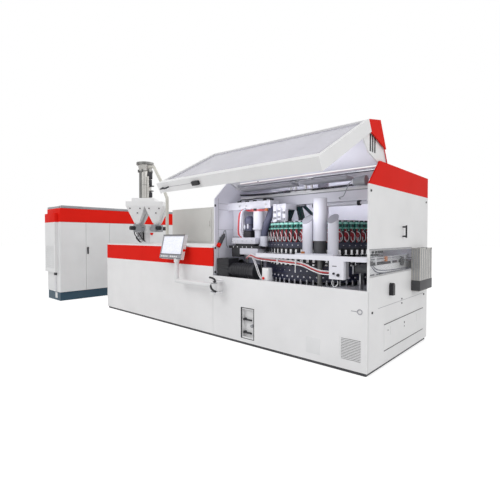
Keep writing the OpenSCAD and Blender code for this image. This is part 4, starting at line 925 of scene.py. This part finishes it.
def dosing_details():
    """Loader clamps, its painted-shade strip and top band, the suction hose, and the parts round the feeders
    and bins.
    """
    rings, loader_shade_and_band, hose, steel, dark, motors, dots = shapes(7)
    centre = (THROAT_X, THROAT_Y)
    add_loop(rings, (*centre, 2590), 252, 9, count=24)
    for z, d in ((2884, 262), (3016, 318), (3062, 350)):
        add_loop(rings, (*centre, z), d, 12, count=24)
    for a in range(0, 360, 60):
        x = THROAT_X + 140 * math.cos(math.radians(a))
        y = THROAT_Y + 140 * math.sin(math.radians(a))
        add_box(rings, (x - 12, y - 12, 2860), (x + 12, y + 12, 2920), 2)
    make_piece("loader_clamps", rings, DULL_STEEL)
    # The first arc is a dark strip of painted shade down the loader's front-left side; the second is a band
    # round its top
    add_arc(loader_shade_and_band, centre, 122, 129, (228, 292), 2310, 2872)
    add_arc(loader_shade_and_band, centre, 178, 184, (150, 390), 3020, 3068)
    make_piece("loader_painted_shade_strip_and_band", loader_shade_and_band, DULL_STEEL)
    bends = [(510, 2977), (700, 2959), (790, 2950), (820, 2924), (920, 2795), (1020, 2666), (1050, 2623),
             (1150, 2450), (1246, 2284), (1260, 2250), (1260, 1900), (1260, 1356)]
    add_tube(hose, [(x, THROAT_Y, z) for x, z in bends], 62, sides=16, steps=5)
    make_piece("suction_hose", hose, CREAM_HOSE)
    for z0, z1, reach in ((2700, 2850, 30), (2570, 2690, 14), (2540, 2560, 96), (2440, 2460, 70),
                          (2320, 2430, 26)):
        add_box(dark, (640, 580, z0), (690 + reach, 640, z1), 6)
    dosing_lines(steel, dark)
    make_piece("dosing_struts", steel, STEEL)
    make_piece("dosing_dark_lines", dark, BLACK)
    bins = MACHINE @ Matrix.Translation((THROAT_X + BINS_DX, THROAT_Y, 0))
    for a in range(0, 360, 90):
        turn = Matrix.Rotation(math.radians(a), 4, "Z")
        add_rod(motors, (324, 0, 1675), (426, 0, 1675), 84, place=bins @ turn)
    make_piece("feeder_motor_covers", motors, BLACK)
    corner = bins @ Matrix.Rotation(math.radians(-45), 4, "Z")
    for across, z in ((-290, 2070), (-90, 2070), (-150, 1980), (90, 2070), (290, 2070), (220, 1980)):
        half = BIN_TIP_R + (BIN_R - BIN_TIP_R) * (z - BIN_TIP_Z) / BIN_H
        face = (BIN_R + half) / math.sqrt(2)
        add_rod(dots, (across, 10 - face, z), (across, -10 - face, z), 26, place=corner)
        add_rod(dots, (face - 10, across, z), (face + 10, across, z), 26, place=corner)
    make_piece("bin_fasteners", dots, BLACK)


carousel_tools()
carousel_drum_details()
carousel_hoses()
feed_hose_details()
chamber_details()
junction_details()
partition_details()
inserter_details()
ceiling_details()
front_details()
end_wall_details()
rear_details()
conveyor_details()
door_details()
panel_details()
cabinet_details()
dosing_details()


# Studio
FLOOR_REACH = 60.0
FLOOR_DROP = 0.001
FLOOR_COLOUR = (0.80, 0.80, 0.80, 1)
FLOOR_ROUGH = 0.7
FLOOR_GLOW = 0.55
WORLD_LIGHT = 0.62
PLAIN_WHITE = (1, 1, 1, 1)
COOL_WHITE = (0.93, 0.93, 1.0)
PALE_WHITE = (0.95, 0.95, 1.0)


def seen_share(tree):
    """One for the rays that show the background, and nought for the rays that light the object."""
    path = tree.nodes.new("ShaderNodeLightPath")
    seen = node(tree, "ShaderNodeMath")
    seen.operation = "ADD"
    also = node(tree, "ShaderNodeMath")
    also.operation = "ADD"
    also.use_clamp = True
    tree.links.new(path.outputs["Is Camera Ray"], seen.inputs[0])
    tree.links.new(path.outputs["Is Glossy Ray"], seen.inputs[1])
    tree.links.new(seen.outputs[0], also.inputs[0])
    tree.links.new(path.outputs["Is Transmission Ray"], also.inputs[1])
    return also.outputs[0]


def make_floor():
    """A pale floor that glows a little for the rays that show it, and keeps the object's shadow."""
    floor_mesh = bpy.data.meshes.new("floor")
    corners = [(-FLOOR_REACH, -FLOOR_REACH, 0), (FLOOR_REACH, -FLOOR_REACH, 0),
               (FLOOR_REACH, FLOOR_REACH, 0), (-FLOOR_REACH, FLOOR_REACH, 0)]
    floor_mesh.from_pydata(corners, [], [(0, 1, 2, 3)])
    floor = bpy.data.objects.new("floor", floor_mesh)
    floor.location.z = -FLOOR_DROP
    SCENE.collection.objects.link(floor)
    made, tree, shader = shader_of("pale_floor")
    shader.inputs["Base Color"].default_value = FLOOR_COLOUR
    shader.inputs["Roughness"].default_value = FLOOR_ROUGH
    shader.inputs["Specular IOR Level"].default_value = 0.0
    glow = node(tree, "ShaderNodeMath")
    glow.operation = "MULTIPLY"
    glow.inputs[1].default_value = FLOOR_GLOW
    tree.links.new(seen_share(tree), glow.inputs[0])
    shader.inputs["Emission Color"].default_value = PLAIN_WHITE
    tree.links.new(glow.outputs[0], shader.inputs["Emission Strength"])
    floor_mesh.materials.append(made)


def make_world():
    """An even light all round, which is plain white where it is seen."""
    world = bpy.data.worlds.new("studio")
    SCENE.world = world
    world.use_nodes = True
    tree = world.node_tree
    tree.nodes.clear()
    out = tree.nodes.new("ShaderNodeOutputWorld")
    light = node(tree, "ShaderNodeBackground", Color=PLAIN_WHITE, Strength=WORLD_LIGHT)
    white = node(tree, "ShaderNodeBackground", Color=PLAIN_WHITE, Strength=1.0)
    pick = tree.nodes.new("ShaderNodeMixShader")
    tree.links.new(seen_share(tree), pick.inputs["Fac"])
    tree.links.new(light.outputs[0], pick.inputs[1])
    tree.links.new(white.outputs[0], pick.inputs[2])
    tree.links.new(pick.outputs[0], out.inputs["Surface"])


def area_light(name, place, aim, size, power, colour=(1, 1, 1)):
    """A soft lamp that the camera doesn't see."""
    data = bpy.data.lights.new(name, "AREA")
    data.shape = "RECTANGLE"
    data.size, data.size_y = size
    data.energy = power
    data.color = colour
    lamp = bpy.data.objects.new(name, data)
    lamp.location = place
    lamp.rotation_euler = (Vector(aim) - Vector(place)).to_track_quat("-Z", "Y").to_euler()
    lamp.visible_camera = False
    SCENE.collection.objects.link(lamp)


make_floor()
make_world()
area_light("key_light", (-3.0, -9.0, 7.5), (0.5, 0, 1.0), (7, 5), 330)
area_light("fill_light", (9.0, -3.0, 5.0), (1.5, 0, 1.2), (6, 5), 150)
area_light("cabinet_light", (-1.5, 1.4, 4.0), (-4.3, 0.4, 1.2), (2.5, 2.5), 42)
area_light("front_light", (1.65, -1.9, 1.9), (1.65, 0.0, 1.5), (2.1, 0.4), 4, PALE_WHITE)
area_light("chamber_light", (1.42, -0.98, 1.80), (1.50, 0.1, 1.4), (1.7, 0.3), 2.3, COOL_WHITE)
area_light("hood_light", (1.65, -0.80, 2.28), (1.65, -0.75, 2.9), (2.0, 0.4), 2.4, COOL_WHITE)
area_light("rear_light", (1.65, 0.25, 2.22), (1.65, 0.98, 1.75), (2.1, 0.2), 7.2, PALE_WHITE)

SCENE.view_settings.view_transform = "Standard"
